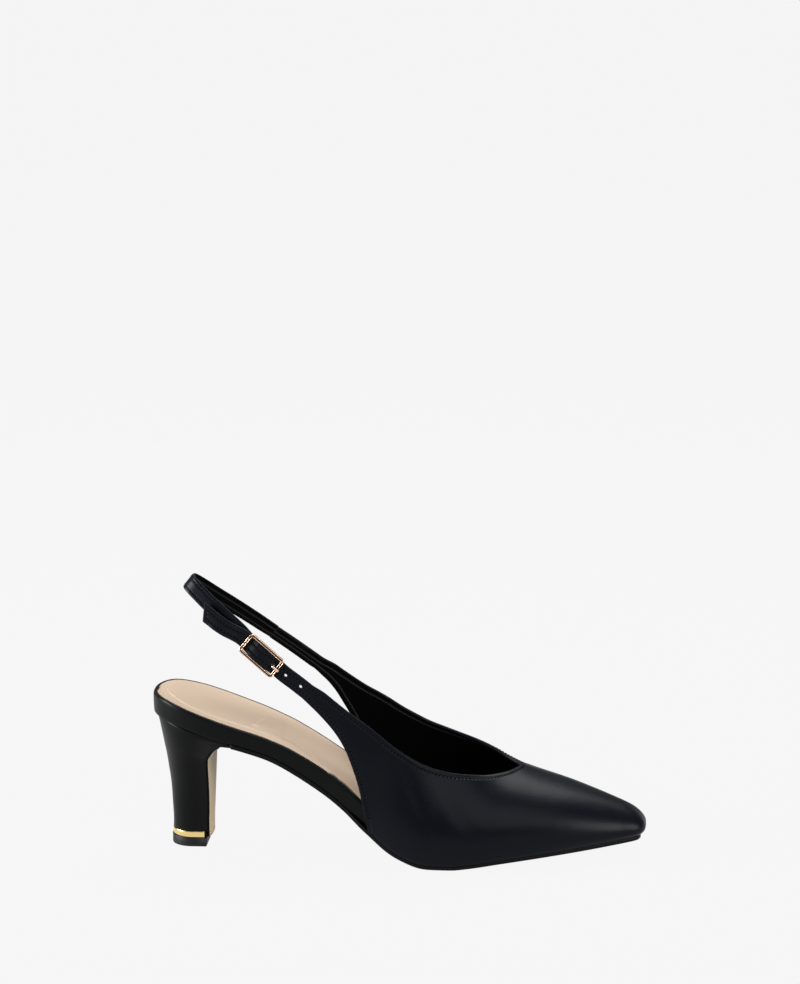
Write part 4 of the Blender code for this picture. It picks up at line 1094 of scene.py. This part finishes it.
def settle_sides(sides, throat, corner, passes):
    """Smooths both sides of the upper as one surface, in pairs of steps out and back.

    Inner points move towards the mean of their four neighbours, free edges along themselves,
    and the ridge and the front line between the two sides. Corners stay.
    """
    for step in (0.5, -0.53) * passes:
        moved = []
        for grid, other in ((sides[0], sides[1]), (sides[1], sides[0])):
            new = grid.copy()
            mean = 0.25 * (grid[:-2, 1:-1] + grid[2:, 1:-1] + grid[1:-1, :-2] + grid[1:-1, 2:])
            new[1:-1, 1:-1] += step * (mean - grid[1:-1, 1:-1])
            low = 0.5 * (grid[:-2, 0] + grid[2:, 0]) - grid[1:-1, 0]
            low[corner - 1] = 0
            new[1:-1, 0] += step * low
            high = 0.5 * (grid[:-2, -1] + grid[2:, -1]) - grid[1:-1, -1]
            high[:throat] = 0
            new[1:-1, -1] += step * high
            rows = slice(NOSE_STEPS + 1, throat)
            ahead = slice(NOSE_STEPS, throat - 1)
            behind = slice(NOSE_STEPS + 2, throat + 1)
            ridge = 0.25 * (grid[ahead, -1] + grid[behind, -1] + grid[rows, -2] + other[rows, -2])
            new[rows, -1] += step * (ridge - grid[rows, -1])
            front = 0.25 * (grid[0, :-2] + grid[0, 2:] + grid[1, 1:-1] + other[1, 1:-1])
            new[0, 1:-1] += step * (front - grid[0, 1:-1])
            moved.append(new)
        sides = moved
    return sides


def column_distance(grid):
    """Distance of each point from the lower and from the upper end of its cross-section."""
    steps = np.linalg.norm(np.diff(grid, axis=1), axis=2)
    low = np.concatenate([np.zeros((len(grid), 1)), np.cumsum(steps, axis=1)], axis=1)
    return low, low[:, -1:] - low


def edge_arc(outer, inner, out, reach, steps=6):
    """Half round from the outer edge to the inner one, standing out by reach."""
    angle = np.linspace(0, np.pi, steps + 1)[None, :, None]
    middle, half = 0.5 * (outer + inner)[:, None], 0.5 * (outer - inner)[:, None]
    return middle + half * np.cos(angle) + out[:, None] * reach * np.sin(angle)


def nearest(points, line):
    """Distance of each point of a grid to the nearest point of a dense line."""
    flat = points.reshape(-1, 3)
    square = (flat ** 2).sum(1)[:, None] + (line ** 2).sum(1)[None] - 2 * flat @ line.T
    return np.sqrt(np.maximum(square.min(1), 0)).reshape(points.shape[:-1])


def crease_depth(grid, side):
    """How far each point sinks: a soft trough along each crease, faded towards its two ends,
    as a bell curve of the distance to the crease's line seen from the side."""
    sunk = np.zeros(grid.shape[:2])
    flat = grid[..., [0, 2]]
    for where, x0, z0, x1, z1, depth, half_width in CREASES:
        if where != side:
            continue
        start, run = np.array([x0, z0]), np.array([x1 - x0, z1 - z0])
        share = ((flat - start) @ run / (run @ run)).clip(0, 1)
        away = np.linalg.norm(flat - start - share[..., None] * run, axis=-1)
        sunk += depth * np.exp(-(away / half_width) ** 2) * np.sin(np.pi * (0.15 + 0.7 * share))
    return sunk


def creased(grid, normal, side):
    """One side of the upper with its creases sunk in, faded out towards its lower and upper edge."""
    low, high = column_distance(grid)
    fade = np.clip(low / CREASE_FADE, 0, 1) * np.clip(high / CREASE_FADE, 0, 1)
    return grid - normal * (crease_depth(grid, side) * fade)[..., None]


def upper_surfaces():
    """Outer and lining surface of both sides of the upper, their normals, and the distance of
    each point from the topline and from the rear edge."""
    throat, corner = NOSE_STEPS + VAMP_STEPS, NOSE_STEPS + VAMP_STEPS + COLLAR_STEPS
    sides = settle_sides([upper_side("lateral"), upper_side("medial")], throat, corner, 20)
    outer = []
    for grid in sides:
        low, high = column_distance(grid)
        up = unit(grid[:, -1] - grid[:, -2] + 1e-12)
        down = unit(grid[:, 0] - grid[:, 1])
        rows = np.arange(len(grid))
        for distance, first, way in ((high, throat, up), (low, corner, down)):
            free = np.clip((rows - first) / 3, 0, 1)[:, None]
            pull = EDGE_ROLL * np.exp(-(distance / (3 * MM)) ** 2) * free
            grid = grid - way[:, None] * pull[..., None]
        outer.append(grid)
    normals = surface_normals(outer)
    outer = [creased(*row) for row in zip(outer, normals, ("lateral", "medial"))]
    normals = surface_normals(outer)
    inner = [grid - WALL * normal for grid, normal in zip(outer, normals)]
    tail = even(np.stack([outer[0][-1, 0], outer[0][-1, -1]]), 60)
    topline = np.concatenate([even(grid[throat:, -1], 900) for grid in outer] + [tail])
    to_top = [nearest(grid, topline) for grid in outer]
    to_rear = [nearest(outer[0], np.concatenate([even(outer[0][corner:, 0], 700), tail])),
               nearest(outer[1], even(outer[1][corner:, 0], 400))]
    return outer, inner, normals, to_top, to_rear, throat, corner


def make_upper(surfaces):
    """Vamp, quarters and outer strap: leather outside, lining inside, folded edges between."""
    outer, inner, _, to_top, to_rear, throat, _ = surfaces
    grids = []
    for skin, lining, high, low in zip(outer, inner, to_top, to_rear):
        free = np.minimum(high, low)
        uv = np.stack([np.broadcast_to(travel(skin[:, 0])[:, None], free.shape), free], -1)
        up = unit(skin[:, -1] - skin[:, -2] + 1e-12)
        down = unit(skin[:, 0] - skin[:, 1])
        top = slice(throat, None)
        grids += [(skin, 0, uv), (lining, 1, uv),
                  (edge_arc(skin[:, 0], lining[:, 0], down, EDGE_ROLL), 0, None),
                  (edge_arc(skin[top, -1], lining[top, -1], up[top], EDGE_ROLL), 0, None)]
    upper = piece("upper_shell", grids, ["upper_leather", "lining"], ["upper"], "upper_leather")
    cut_holes(upper)
    return upper


def cut_holes(upper):
    """Cut the strap's round holes through the shell, square to the strap."""
    _, long, _, outward = buckle_frame()
    turn = Vector(outward).to_track_quat("Z", "Y").to_matrix().to_4x4()
    radii = (0.5 * SEEN_HOLE, 0.5 * HOLE_DIAMETER, 0.5 * HOLE_DIAMETER)
    shifts = (SEEN_HOLE_SHIFT, 0.0, 0.0)
    cutters = []
    for number, (radius, shift) in enumerate(zip(radii, shifts)):
        shape = bmesh.new()
        bmesh.ops.create_cone(shape, cap_ends=True, segments=32, radius1=radius, radius2=radius,
                              depth=CUTTER_LENGTH)
        mesh = bpy.data.meshes.new("punch")
        shape.to_mesh(mesh)
        shape.free()
        punch = put_object("punch", mesh)
        punch.matrix_world = Matrix.Translation(Vector(hole_place(number) + shift * long)) @ turn
        cutters.append(punch)
        cut = upper.modifiers.new("punch", "BOOLEAN")
        cut.operation = "DIFFERENCE"
        cut.solver = "EXACT"
        cut.object = punch
    bpy.context.view_layer.update()
    whole = upper.evaluated_get(bpy.context.evaluated_depsgraph_get())
    done = bpy.data.meshes.new_from_object(whole)
    upper.modifiers.clear()
    upper.data = done
    for punch in cutters:
        bpy.data.objects.remove(punch)


def sling_surface():
    """Middle line of the sling strap, direction up across it and square to it."""
    rows = sling_line()
    rows[0, :3] += 1.2 * GAP * FORWARD
    key = lengths(rows[:, :3])
    fine = smooth(key, rows[:, :3], np.linspace(0, 1, 40 * len(rows)))
    line = even(settle(fine, 24), SLING_STEPS)
    up = across_strap(len(line), smooth(key, rows[:, 3], lengths(line)))
    square = unit(np.cross(unit(np.gradient(line, axis=0)), up))
    return line, up, square


def make_sling():
    """Sling strap swept along its line, with rounded edges."""
    line, up, square = sling_surface()
    angle = np.linspace(0, 2 * np.pi, 41)[:-1]
    across = np.sign(np.cos(angle)) * np.abs(np.cos(angle)) ** 0.25
    out = np.sign(np.sin(angle)) * np.abs(np.sin(angle)) ** 0.6
    grid = (line[:, None] + 0.5 * STRAP_WIDTH * across[None, :, None] * up[:, None]
            + 0.5 * STRAP_THICKNESS * out[None, :, None] * square[:, None])
    free = 0.5 * STRAP_WIDTH * (1 - np.abs(across))
    uv = np.stack(np.broadcast_arrays(travel(line)[:, None], free[None]), -1)
    grid, uv = (np.concatenate([item, item[:, :1]], axis=1) for item in (grid, uv))
    half = len(angle) // 2
    faces = ((slice(None, half + 4), 0), (slice(half + 3, len(angle) - 2), 1),
             (slice(len(angle) - 3, None), 0))
    grids = [(grid[:, face], number, uv[:, face]) for face, number in faces]
    return piece("sling", grids, ["upper_leather", "lining"], ["sling_strap"], "upper_leather")


def seam_row(grid, normal, distance, first):
    """Points and normals along the line that lies STITCH_INSET from an edge, one for each
    cross-section from first on that crosses it. The columns start at the edge."""
    both = np.concatenate([grid, normal], -1)
    beyond = distance >= STITCH_INSET
    column = beyond.argmax(axis=1)
    rows = np.nonzero(beyond.any(axis=1) & (column > 0) & (np.arange(len(grid)) >= first))[0]
    at = column[rows]
    before, after = distance[rows, at - 1], distance[rows, at]
    share = ((STITCH_INSET - before) / (after - before))[:, None]
    return both[rows, at - 1] * (1 - share) + both[rows, at] * share


def stitch_shapes(path):
    """Small ellipsoids laid along a path of points and normals, a little slanted, one pitch
    apart: along the thread the cosine of an angle, round it a circle times the sine."""
    travelled = travel(path[:, :3])
    at = np.arange(0.5 * STITCH_PITCH, travelled[-1], STITCH_PITCH)
    row = np.stack([np.interp(at, travelled, path[:, axis]) for axis in range(6)], -1)
    place, normal = row[:, :3], unit(row[:, 3:])
    heading = unit(np.gradient(place, axis=0))
    side = unit(np.cross(normal, heading))
    heading = unit(heading + 0.14 * side)
    side = unit(np.cross(normal, heading))
    v = np.linspace(0, np.pi, 6)[None, :, None, None]
    u = np.linspace(0, 2 * np.pi, 9)[None, None, :, None]
    return ((place + 0.04 * MM * normal)[:, None, None]
            + 0.5 * STITCH_LENGTH * np.cos(v) * heading[:, None, None]
            + 0.5 * THREAD * np.sin(v) * np.cos(u) * side[:, None, None]
            + 0.42 * THREAD * np.sin(v) * np.sin(u) * normal[:, None, None])


def make_stitches(surfaces):
    """Stitch rows along the topline, the rear edges and both edges of the straps, on both faces."""
    outer, _, normals, to_top, to_rear, throat, corner = surfaces
    top = [seam_row(outer[k][:, ::-1], normals[k][:, ::-1], to_top[k][:, ::-1], throat - 12)
           for k in (0, 1)]
    rear = [seam_row(outer[k], normals[k], to_rear[k], corner) for k in (0, 1)]
    paths = [np.concatenate([top[1][::-1], top[0], rear[0][::-1]]), rear[1]]
    paths += [np.concatenate([path[:, :3] - WALL * path[:, 3:], -path[:, 3:]], -1) for path in paths]
    line, up, square = sling_surface()
    reach = 0.5 * STRAP_WIDTH - STITCH_INSET + 0.2 * MM
    for side in (-1, 1):
        for face in (-1, 1):
            place = line + side * reach * up + face * 0.47 * STRAP_THICKNESS * square
            paths.append(np.concatenate([place, face * square], -1))
    shapes = np.concatenate([stitch_shapes(path) for path in paths])
    count, rows, columns = shapes.shape[:3]
    faces = grid_faces(rows, columns)
    faces = (faces[None] + (np.arange(count) * rows * columns)[:, None, None]).reshape(-1, 4)
    return put_mesh("stitches", shapes.reshape(-1, 3), faces, "thread")


def put_mesh(name, points, faces, material):
    """Smooth object of points and quads."""
    mesh = bpy.data.meshes.new(name)
    mesh.from_pydata(points.tolist(), [], faces.tolist())
    mesh.shade_smooth()
    mesh.materials.append(FINISH[material])
    return put_object(name, mesh)


def stacked(start, outset, side, dip, height):
    """Solid of rings of the footbed's outline from place start on: each row of side gives an
    inset in mm and a share of the height. A sheet closes each end, the last one dished by dip."""
    rings = []
    for inset, share in side:
        flat = edge_ring(start, EDGE[-1, 0], OUTLINE_STEPS, outset - inset * MM)
        rings.append(lift(flat, lambda x, s=share: height(x, s)))
    return [(closed(rings), 0, None), (lid(rings[0]), 0, None), (lid(rings[-1], dip), 0, None)]


def make_footbed():
    """Wrapped footbed: rings up its crowned side, over its rim and down into the recess."""
    lowest = 0.1 * MM
    grids = stacked(EDGE[0, 0], 0.0, FOOTBED_SIDE, SEAT_DISH,
                    lambda x, share: sole_top(x) + lowest + share * (bed_height(x) - lowest))
    return piece("footbed_wrap", grids, ["cover_leather"], ["footbed"], "cover_leather")


def sock_relief(x, y):
    """Height of the insole's relief: the heel pad and the arch cushion, each raised with a soft
    edge, with shallow grooves inside the cushion's edge."""
    place = place_of(x)
    total = np.zeros_like(x)
    for table, rise, edge in ((PAD, PAD_RISE, 0.9 * MM), (CUSHION, CUSHION_RISE, 1.6 * MM)):
        rows = smooth(table[:, 0], table[:, 1:], place.clip(table[0, 0], table[-1, 0]))
        near, far = rows.T * SEAT_WIDTH
        inside = np.minimum(y - near, far - y)
        lengthwise = (place - table[0, 0]) * LENGTH
        inside = np.where(lengthwise < 0, lengthwise, inside)
        if table is PAD:
            inside = np.where(place > table[-1, 0], -1.0, inside)
            total += rise * step_between(inside, -edge, edge)
            total -= 0.30 * MM * np.exp(-(inside / (0.7 * MM)) ** 2)
            continue
        fade = 1 - step_between(place, 0.40, 0.44)
        total += fade * rise * step_between(inside, -0.2 * edge, edge)
        for at, depth in ((0.0, 0.32), (3.6 * MM, 0.20), (7.0 * MM, 0.15)):
            total -= fade * depth * MM * np.exp(-((inside - at) / (0.55 * MM)) ** 2)
    return total


def make_sock():
    """Insole sock: a sheet on the footbed, dished by a cosine across, with its relief and with
    a lip that falls off within 0.7 mm of its edge as a quarter circle."""
    steps, across = 440, 120
    flat = edge_ring(EDGE[0, 0], EDGE[-1, 0], steps, -(RIM_INSET + GAP))
    half = steps + 1
    outer, inner = flat[:half], flat[:half - 1:-1]
    side = np.linspace(-1, 1, across + 1)
    share = 0.5 * (1 + np.sin(side * np.pi / 2))[None, :, None]
    plan = outer[:, None] * (1 - share) + inner[:, None] * share
    x, y = plan[..., 0], plan[..., 1]
    height = (sole_top(x.ravel()) + bed_height(x.ravel())).reshape(x.shape) + SOCK_STAND
    reach = np.minimum(np.linalg.norm(plan - plan[:, :1], axis=2),
                       np.linalg.norm(plan - plan[:, -1:], axis=2))
    back = np.linalg.norm(plan - plan[:1, :1], axis=2)
    reach = np.minimum(reach, np.where(x < plan[12, 0, 0], back, reach))
    lip = 0.5 * MM * (1 - np.sqrt(1 - (1 - (reach / (0.7 * MM)).clip(0, 1)) ** 2))
    dish = SEAT_DISH * np.cos(side * np.pi / 2)[None, :] ** 0.8
    relief = sock_relief(x.ravel(), y.ravel()).reshape(x.shape)
    grid = np.concatenate([plan, (height - dish - lip + relief)[..., None]], -1)
    skirt = [grid[:, end] - [0, 0, 0.9 * MM] for end in (0, -1)]
    grid = np.concatenate([skirt[0][:, None], grid, skirt[1][:, None]], axis=1)
    return piece("sock_sheet", [(grid, 0, None)], ["sock_lining"], ["sock"], "sock_lining", fill=False)


def make_outsole():
    """Thin sole: rings from its underside to its upper face, rounded at both edges and as wide
    as the upper in front of the upper's rear corner."""
    start = float(place_of(heel_sizes([1.0])[2][0] - GAP))
    ring = edge_ring(start, EDGE[-1, 0], OUTLINE_STEPS)
    shoulder = along(np.array([LATERAL_CORNER - 0.05, LATERAL_CORNER - 0.01]))
    wide = step_between(ring[:, 0], *shoulder) * WALL
    grids = stacked(start, wide, OUTSOLE_SIDE, 0.0,
                    lambda x, share: sole_bottom(x) * (1 - share) + sole_top(x) * share)
    return piece("sole", grids, ["sole_edge"], ["outsole"], "sole_edge")


def make_heel():
    """Covered heel block, lofted from its foot to the sloping seat."""
    heights = np.concatenate([np.linspace(0, 0.66, 30), np.linspace(0.68, 0.93, 26),
                              np.linspace(0.934, 0.958, 8), [0.98, 0.992, 0.998]])
    foot = ((0.9 * MM, TOPLIFT_HEIGHT + 0.1 * MM), (0.9 * MM, band_top() - 0.25 * MM),
            (0.3 * MM, band_top() - 0.12 * MM))
    rings = [lift(heel_section(0.0, inset), z) for inset, z in foot]
    for height in heights:
        flat = heel_section(height, 0.25 * MM if height > 0.997 else 0.0)
        rings.append(lift(flat, lambda x, h=height: heel_point_height(x, h)))
    grid = capped([with_front(ring) for ring in rings])
    return piece("heel_block", [(grid, 0, None)], ["cover_leather"], ["heel"], "cover_leather")


def with_front(ring):
    """Heel outline with 14 more points along its straight front."""
    front = np.linspace(ring[-1], ring[0], 16)[1:-1]
    return np.concatenate([ring, front])


def make_toplift():
    """Top piece of the heel with a worn lower edge."""
    outline = heel_section(0.0) - np.array([TOPLIFT_SHIFT, 0.0])
    middle = outline.mean(axis=0)
    rings = []
    for inset, z in ((0.5, 0.0), (0.2, 0.12), (0.05, 0.35), (0.0, 0.7), (0.0, 4.75), (0.15, 4.95)):
        flat = middle + (outline - middle) * (1 - 2 * inset * MM / TREAD_LENGTH)
        rings.append(with_front(lift(flat, z * MM)))
    return piece("top_piece", [(capped(rings), 0, None)], ["heel_rubber"], ["toplift"], "heel_rubber")


def make_band():
    """Metal band round the heel's foot, open at the breast."""
    line = heel_section(0.0)
    line[[0, -1], 0] -= BAND_SETBACK
    line = even(line, 160)
    heading = unit(np.gradient(line, axis=0))
    square = np.stack([heading[:, 1], -heading[:, 0]], -1)
    square = square * np.sign(np.sum(square * (line - line.mean(axis=0)), axis=1).mean())
    low = TOPLIFT_HEIGHT + 1.2 * GAP
    section = ((-0.6, 0.0), (-0.05, 0.0), (0.12, 0.12), (0.15, 0.5),
               (0.15, 2.6), (0.12, 2.95), (-0.05, 3.1), (-0.6, 3.1))
    rings = [lift(line + square * out * MM, low + up * MM) for out, up in section]
    grid = capped(list(np.stack(rings, axis=1)))
    return piece("band", [(grid, 0, None)], ["gold_metal"], ["heel_band"], "gold_metal")


def make_breast():
    """Sole leather down the heel breast, a little crowned across, its edges dyed dark."""
    heights = np.concatenate([np.linspace(0.0, 0.66, 24), np.linspace(0.68, COVER_END, 26)])
    _, _, breast, half = heel_sizes(heights)
    z = heel_point_height(breast, heights)
    z[0] = TOPLIFT_HEIGHT + 0.6 * MM
    slope = unit(np.gradient(np.stack([breast, z], -1), axis=0))
    square = np.stack([slope[:, 1], -slope[:, 0]], -1)
    rows = []
    for share, out in ((-1, 0.0), (-1, 0.6), (-0.993, 0.8), (-0.98, 1.0), (-0.9, 1.3), (-0.6, 1.8),
                       (0, 2.2), (0.6, 2.0), (0.9, 1.6), (0.98, 1.2), (0.993, 0.8), (1, 0.6), (1, 0.0)):
        y = share * (HEEL_CORNER * half - COVER_INSET)
        rows.append(np.stack([breast + square[:, 0] * out * MM, y, z + square[:, 1] * out * MM], -1))
    grid = np.stack(rows, axis=1)
    grids = [(grid[:, :4], 1, None), (grid[:, 3:10], 0, None), (grid[:, 9:], 1, None)]
    return piece("breast", grids, ["breast_cover", "cover_leather"], ["breast_cover"], "breast_cover")


def sweep(path, normal, profile):
    """Closed profile (side, out) carried along a path of points; side lies in the plane that
    is square to normal."""
    heading = unit(np.roll(path, -1, axis=0) - np.roll(path, 1, axis=0))
    side = unit(np.cross(heading, normal))
    return (path[:, None] + side[:, None] * profile[None, :, :1] + normal * profile[None, :, 1:])


def make_buckle():
    """Buckle frame: a bar with a channel along its outer face, carried round a rectangle with
    small corner arcs, and the round centre bar between its sides. The channel's walls and floor
    are coloured dark metal as a painted dark reflection: the dark middle band that a polished
    round bar mirrors."""
    middle, long, across, outward = buckle_frame()
    half = 0.5 * np.array([BUCKLE_LENGTH - BUCKLE_BAR, buckle_width() - BUCKLE_BAR])
    radius = 1.0 * MM
    points = []
    for number, corner in enumerate(((1, 1), (-1, 1), (-1, -1), (1, -1))):
        angle = np.radians(np.linspace(0, 90, 7) + 90 * number)
        arc = radius * np.stack([np.cos(angle), np.sin(angle)], -1)
        points.append(corner * (half - radius) + arc)
    flat = even(np.concatenate(points + [points[0][:1]]), 240)[:-1]
    path = middle + flat[:, :1] * long + flat[:, 1:] * across
    turn = np.linspace(0, 2 * np.pi, 25)[:-1]
    wide, tall = 0.5 * BUCKLE_BAR, 0.5 * BUCKLE_THICKNESS
    rise = [(share * wide, height * tall) for share, height in
            ((1.0, 0.3), (0.96, 0.75), (0.82, 1.0), (0.56, 1.0), (0.40, 0.95))]
    rise.append((0.34 * wide, tall - CHANNEL_DEPTH))
    base = [(side * wide, out * tall) for side, out in ((-1, -0.3), (-0.8, -1), (0.8, -1), (1, -0.3))]
    profile = np.array(rise + [(-side, out) for side, out in rise[::-1]] + base)
    grid = sweep(path, outward, profile)
    flat = (grid - middle) @ np.stack([long, across], -1)
    inner = (np.abs(flat) < half) & (np.abs(flat) > 0.6 * half)
    move = np.where(inner, -np.sign(flat) * BAR_INWARD, 0.0)
    grid = grid + move[..., :1] * long + move[..., 1:] * across
    grid = closed(list(np.concatenate([grid, grid[:1]])))
    bar_line = middle + centre_bar_out() * outward + np.linspace(-1, 1, 9)[:, None] * half[1] * across
    ring = np.stack([np.cos(turn), np.sin(turn)], -1) * 0.5 * CENTRE_BAR_DIAMETER
    bar = bar_line[:, None] + ring[None, :, :1] * long + ring[None, :, 1:] * outward
    # columns 4 to 7 are the channel's walls and floor, in the painted dark reflection colour
    grids = [(grid[:, :5], 0, None), (grid[:, 4:8], 1, None), (grid[:, 7:], 0, None),
             (closed(list(bar)), 0, None)]
    return piece("buckle", grids, ["buckle_metal", "buckle_channel_painted_dark_reflection"], ["buckle_frame"], "buckle_metal")


def make_prong():
    """Prong: a wire from the centre bar through the strap, flattened over the toe bar."""
    middle, long, across, outward = buckle_frame()
    reach = bar_reach()
    radius = 0.5 * PRONG_DIAMETER
    hole = prong_hole_along() + SEEN_HOLE_SHIFT
    top = 0.5 * BUCKLE_THICKNESS + GAP + radius
    low = -(0.5 * BUCKLE_THICKNESS + GAP + WALL + GAP + radius)
    start = 0.5 * CENTRE_BAR_DIAMETER + GAP + radius
    route = np.array([
        (start, centre_bar_out() - 0.25 * MM),
        (0.30 * reach, centre_bar_out() - 0.7 * MM),
        (0.47 * reach, low + 0.55 * MM),
        (hole - 0.75 * MM, low + 0.35 * MM),
        (hole - 0.25 * MM, low + 0.9 * MM),
        (hole, 0.5 * (low + top)),
        (hole + 0.15 * MM, top - 0.7 * MM),
        (hole + 0.9 * MM, top + 0.05 * MM),
        (reach, top + 0.08 * MM),
        (reach + 1.2 * MM, top - 0.1 * MM),
    ])
    flat = through(route, 70)
    line = middle + flat[:, :1] * long + flat[:, 1:] * outward
    heading = unit(np.gradient(line, axis=0))
    square = unit(np.cross(heading, across))
    turn = np.linspace(0, 2 * np.pi, 17)[:-1]
    grid = (line[:, None] + radius * 1.15 * np.cos(turn)[None, :, None] * across
            + radius * 0.9 * np.sin(turn)[None, :, None] * square[:, None])
    return piece("prong", [(capped(list(grid)), 0, None)], ["buckle_metal"], ["buckle_prong"], "buckle_metal")


# Build

surfaces = upper_surfaces()
made = [
    make_upper(surfaces), make_stitches(surfaces), make_sling(), make_footbed(), make_sock(),
    make_outsole(), make_heel(), make_toplift(), make_band(), make_breast(), make_buckle(),
    make_prong(),
]
for item in made:
    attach(item, "root")


# Stage, light and camera

# Strength for rays that light the object, that it mirrors, and that the camera sees
FLOOR_LEVEL = (0.25, 0.80, 0.908)
WORLD_LEVEL = (0.12, 0.20, 0.922)
FLOOR_REACH = 60
CAMERA_TURN = math.radians(5.1)     # to the right
CAMERA_RISE = math.radians(17.0)
CAMERA_DISTANCE = 2.0
CAMERA_TARGET = Vector((0.107743, 0.0, 0.068076))
FOCAL_PIXELS = 3920                 # focal length in pixels of the picture
PICTURE_HEIGHT = 984
TARGET_BELOW = 228                  # pixels from the picture's middle down to the target
SENSOR_HEIGHT = 36


def ray_level(tree, soft, mirrored, seen):
    """Strength for rays that light the object, that it mirrors, and that the camera sees."""
    path = tree.nodes.new("ShaderNodeLightPath").outputs
    glossy = calculate(tree, "MULTIPLY_ADD", path["Is Glossy Ray"], mirrored - soft, soft)
    return calculate(tree, "MULTIPLY_ADD", path["Is Camera Ray"], seen - soft, glossy)


def make_floor():
    """Plain pale floor that shines evenly by itself, so that it takes hardly any shadow."""
    mesh = bpy.data.meshes.new("floor")
    corners = [(FLOOR_REACH * x, FLOOR_REACH * y, 0) for x, y in ((-1, -1), (1, -1), (1, 1), (-1, 1))]
    mesh.from_pydata(corners, [], [(0, 1, 2, 3)])
    material, tree, shader = new_material("floor")
    feed(tree, shader, {"Base Color": (0.01, 0.01, 0.01, 1), "Roughness": 1,
                        "Specular IOR Level": 0, "Emission Color": (1, 1, 1, 1),
                        "Emission Strength": ray_level(tree, *FLOOR_LEVEL)})
    mesh.materials.append(material)
    put_object("floor", mesh)


def area_light(name, place, target, size, power, colour=(1, 1, 1)):
    """Soft rectangular lamp at a place, turned to a target."""
    lamp = bpy.data.lights.new(name, "AREA")
    lamp.shape = "RECTANGLE"
    lamp.size, lamp.size_y = size
    lamp.energy = power
    lamp.color = colour
    made = put_object(name, lamp)
    made.location = place
    made.rotation_euler = (Vector(target) - Vector(place)).to_track_quat("-Z", "Y").to_euler()


def make_camera():
    """Camera at the photo's angle, aimed so that the target lies below the picture's middle."""
    turn, rise = CAMERA_TURN, CAMERA_RISE
    tilt = math.atan(TARGET_BELOW / FOCAL_PIXELS)
    back = Vector((math.sin(turn) * math.cos(rise), -math.cos(turn) * math.cos(rise), math.sin(rise)))
    right = Vector((math.cos(turn), math.sin(turn), 0))
    up = back.cross(right)
    forward = -back * math.cos(tilt) + up * math.sin(tilt)
    lens = bpy.data.cameras.new("camera")
    lens.sensor_fit = "VERTICAL"
    lens.sensor_height = SENSOR_HEIGHT
    lens.lens = SENSOR_HEIGHT * FOCAL_PIXELS * math.cos(tilt) / PICTURE_HEIGHT
    camera = put_object("camera", lens)
    camera.location = CAMERA_TARGET + back * CAMERA_DISTANCE
    camera.rotation_euler = forward.to_track_quat("-Z", "Y").to_euler()
    bpy.context.scene.camera = camera


def make_world():
    """Even pale surround, dimmer for the object than for the camera."""
    world = bpy.data.worlds.new("surround")
    bpy.context.scene.world = world
    world.use_nodes = True
    tree = world.node_tree
    feed(tree, tree.nodes["Background"],
         {"Color": (1, 1, 1, 1), "Strength": ray_level(tree, *WORLD_LEVEL)})


make_floor()
make_world()
area_light("front", (0.55, -0.95, 0.95), (0.13, 0, 0.04), (0.9, 1.1), 5.5, (0.88, 0.94, 1.0))
area_light("above", (0.10, 0.45, 1.0), (0.11, 0, 0.05), (1.2, 0.6), 12.5)
area_light("left", (-1.0, -0.25, 0.28), (0.02, 0, 0.07), (0.5, 0.5), 17, (0.92, 0.96, 1.0))
area_light("right", (1.0, -0.45, 0.30), (0.03, 0, 0.04), (0.4, 0.5), 5)
make_camera()
bpy.context.scene.view_settings.view_transform = "Standard"

bpy.context.view_layer.update()
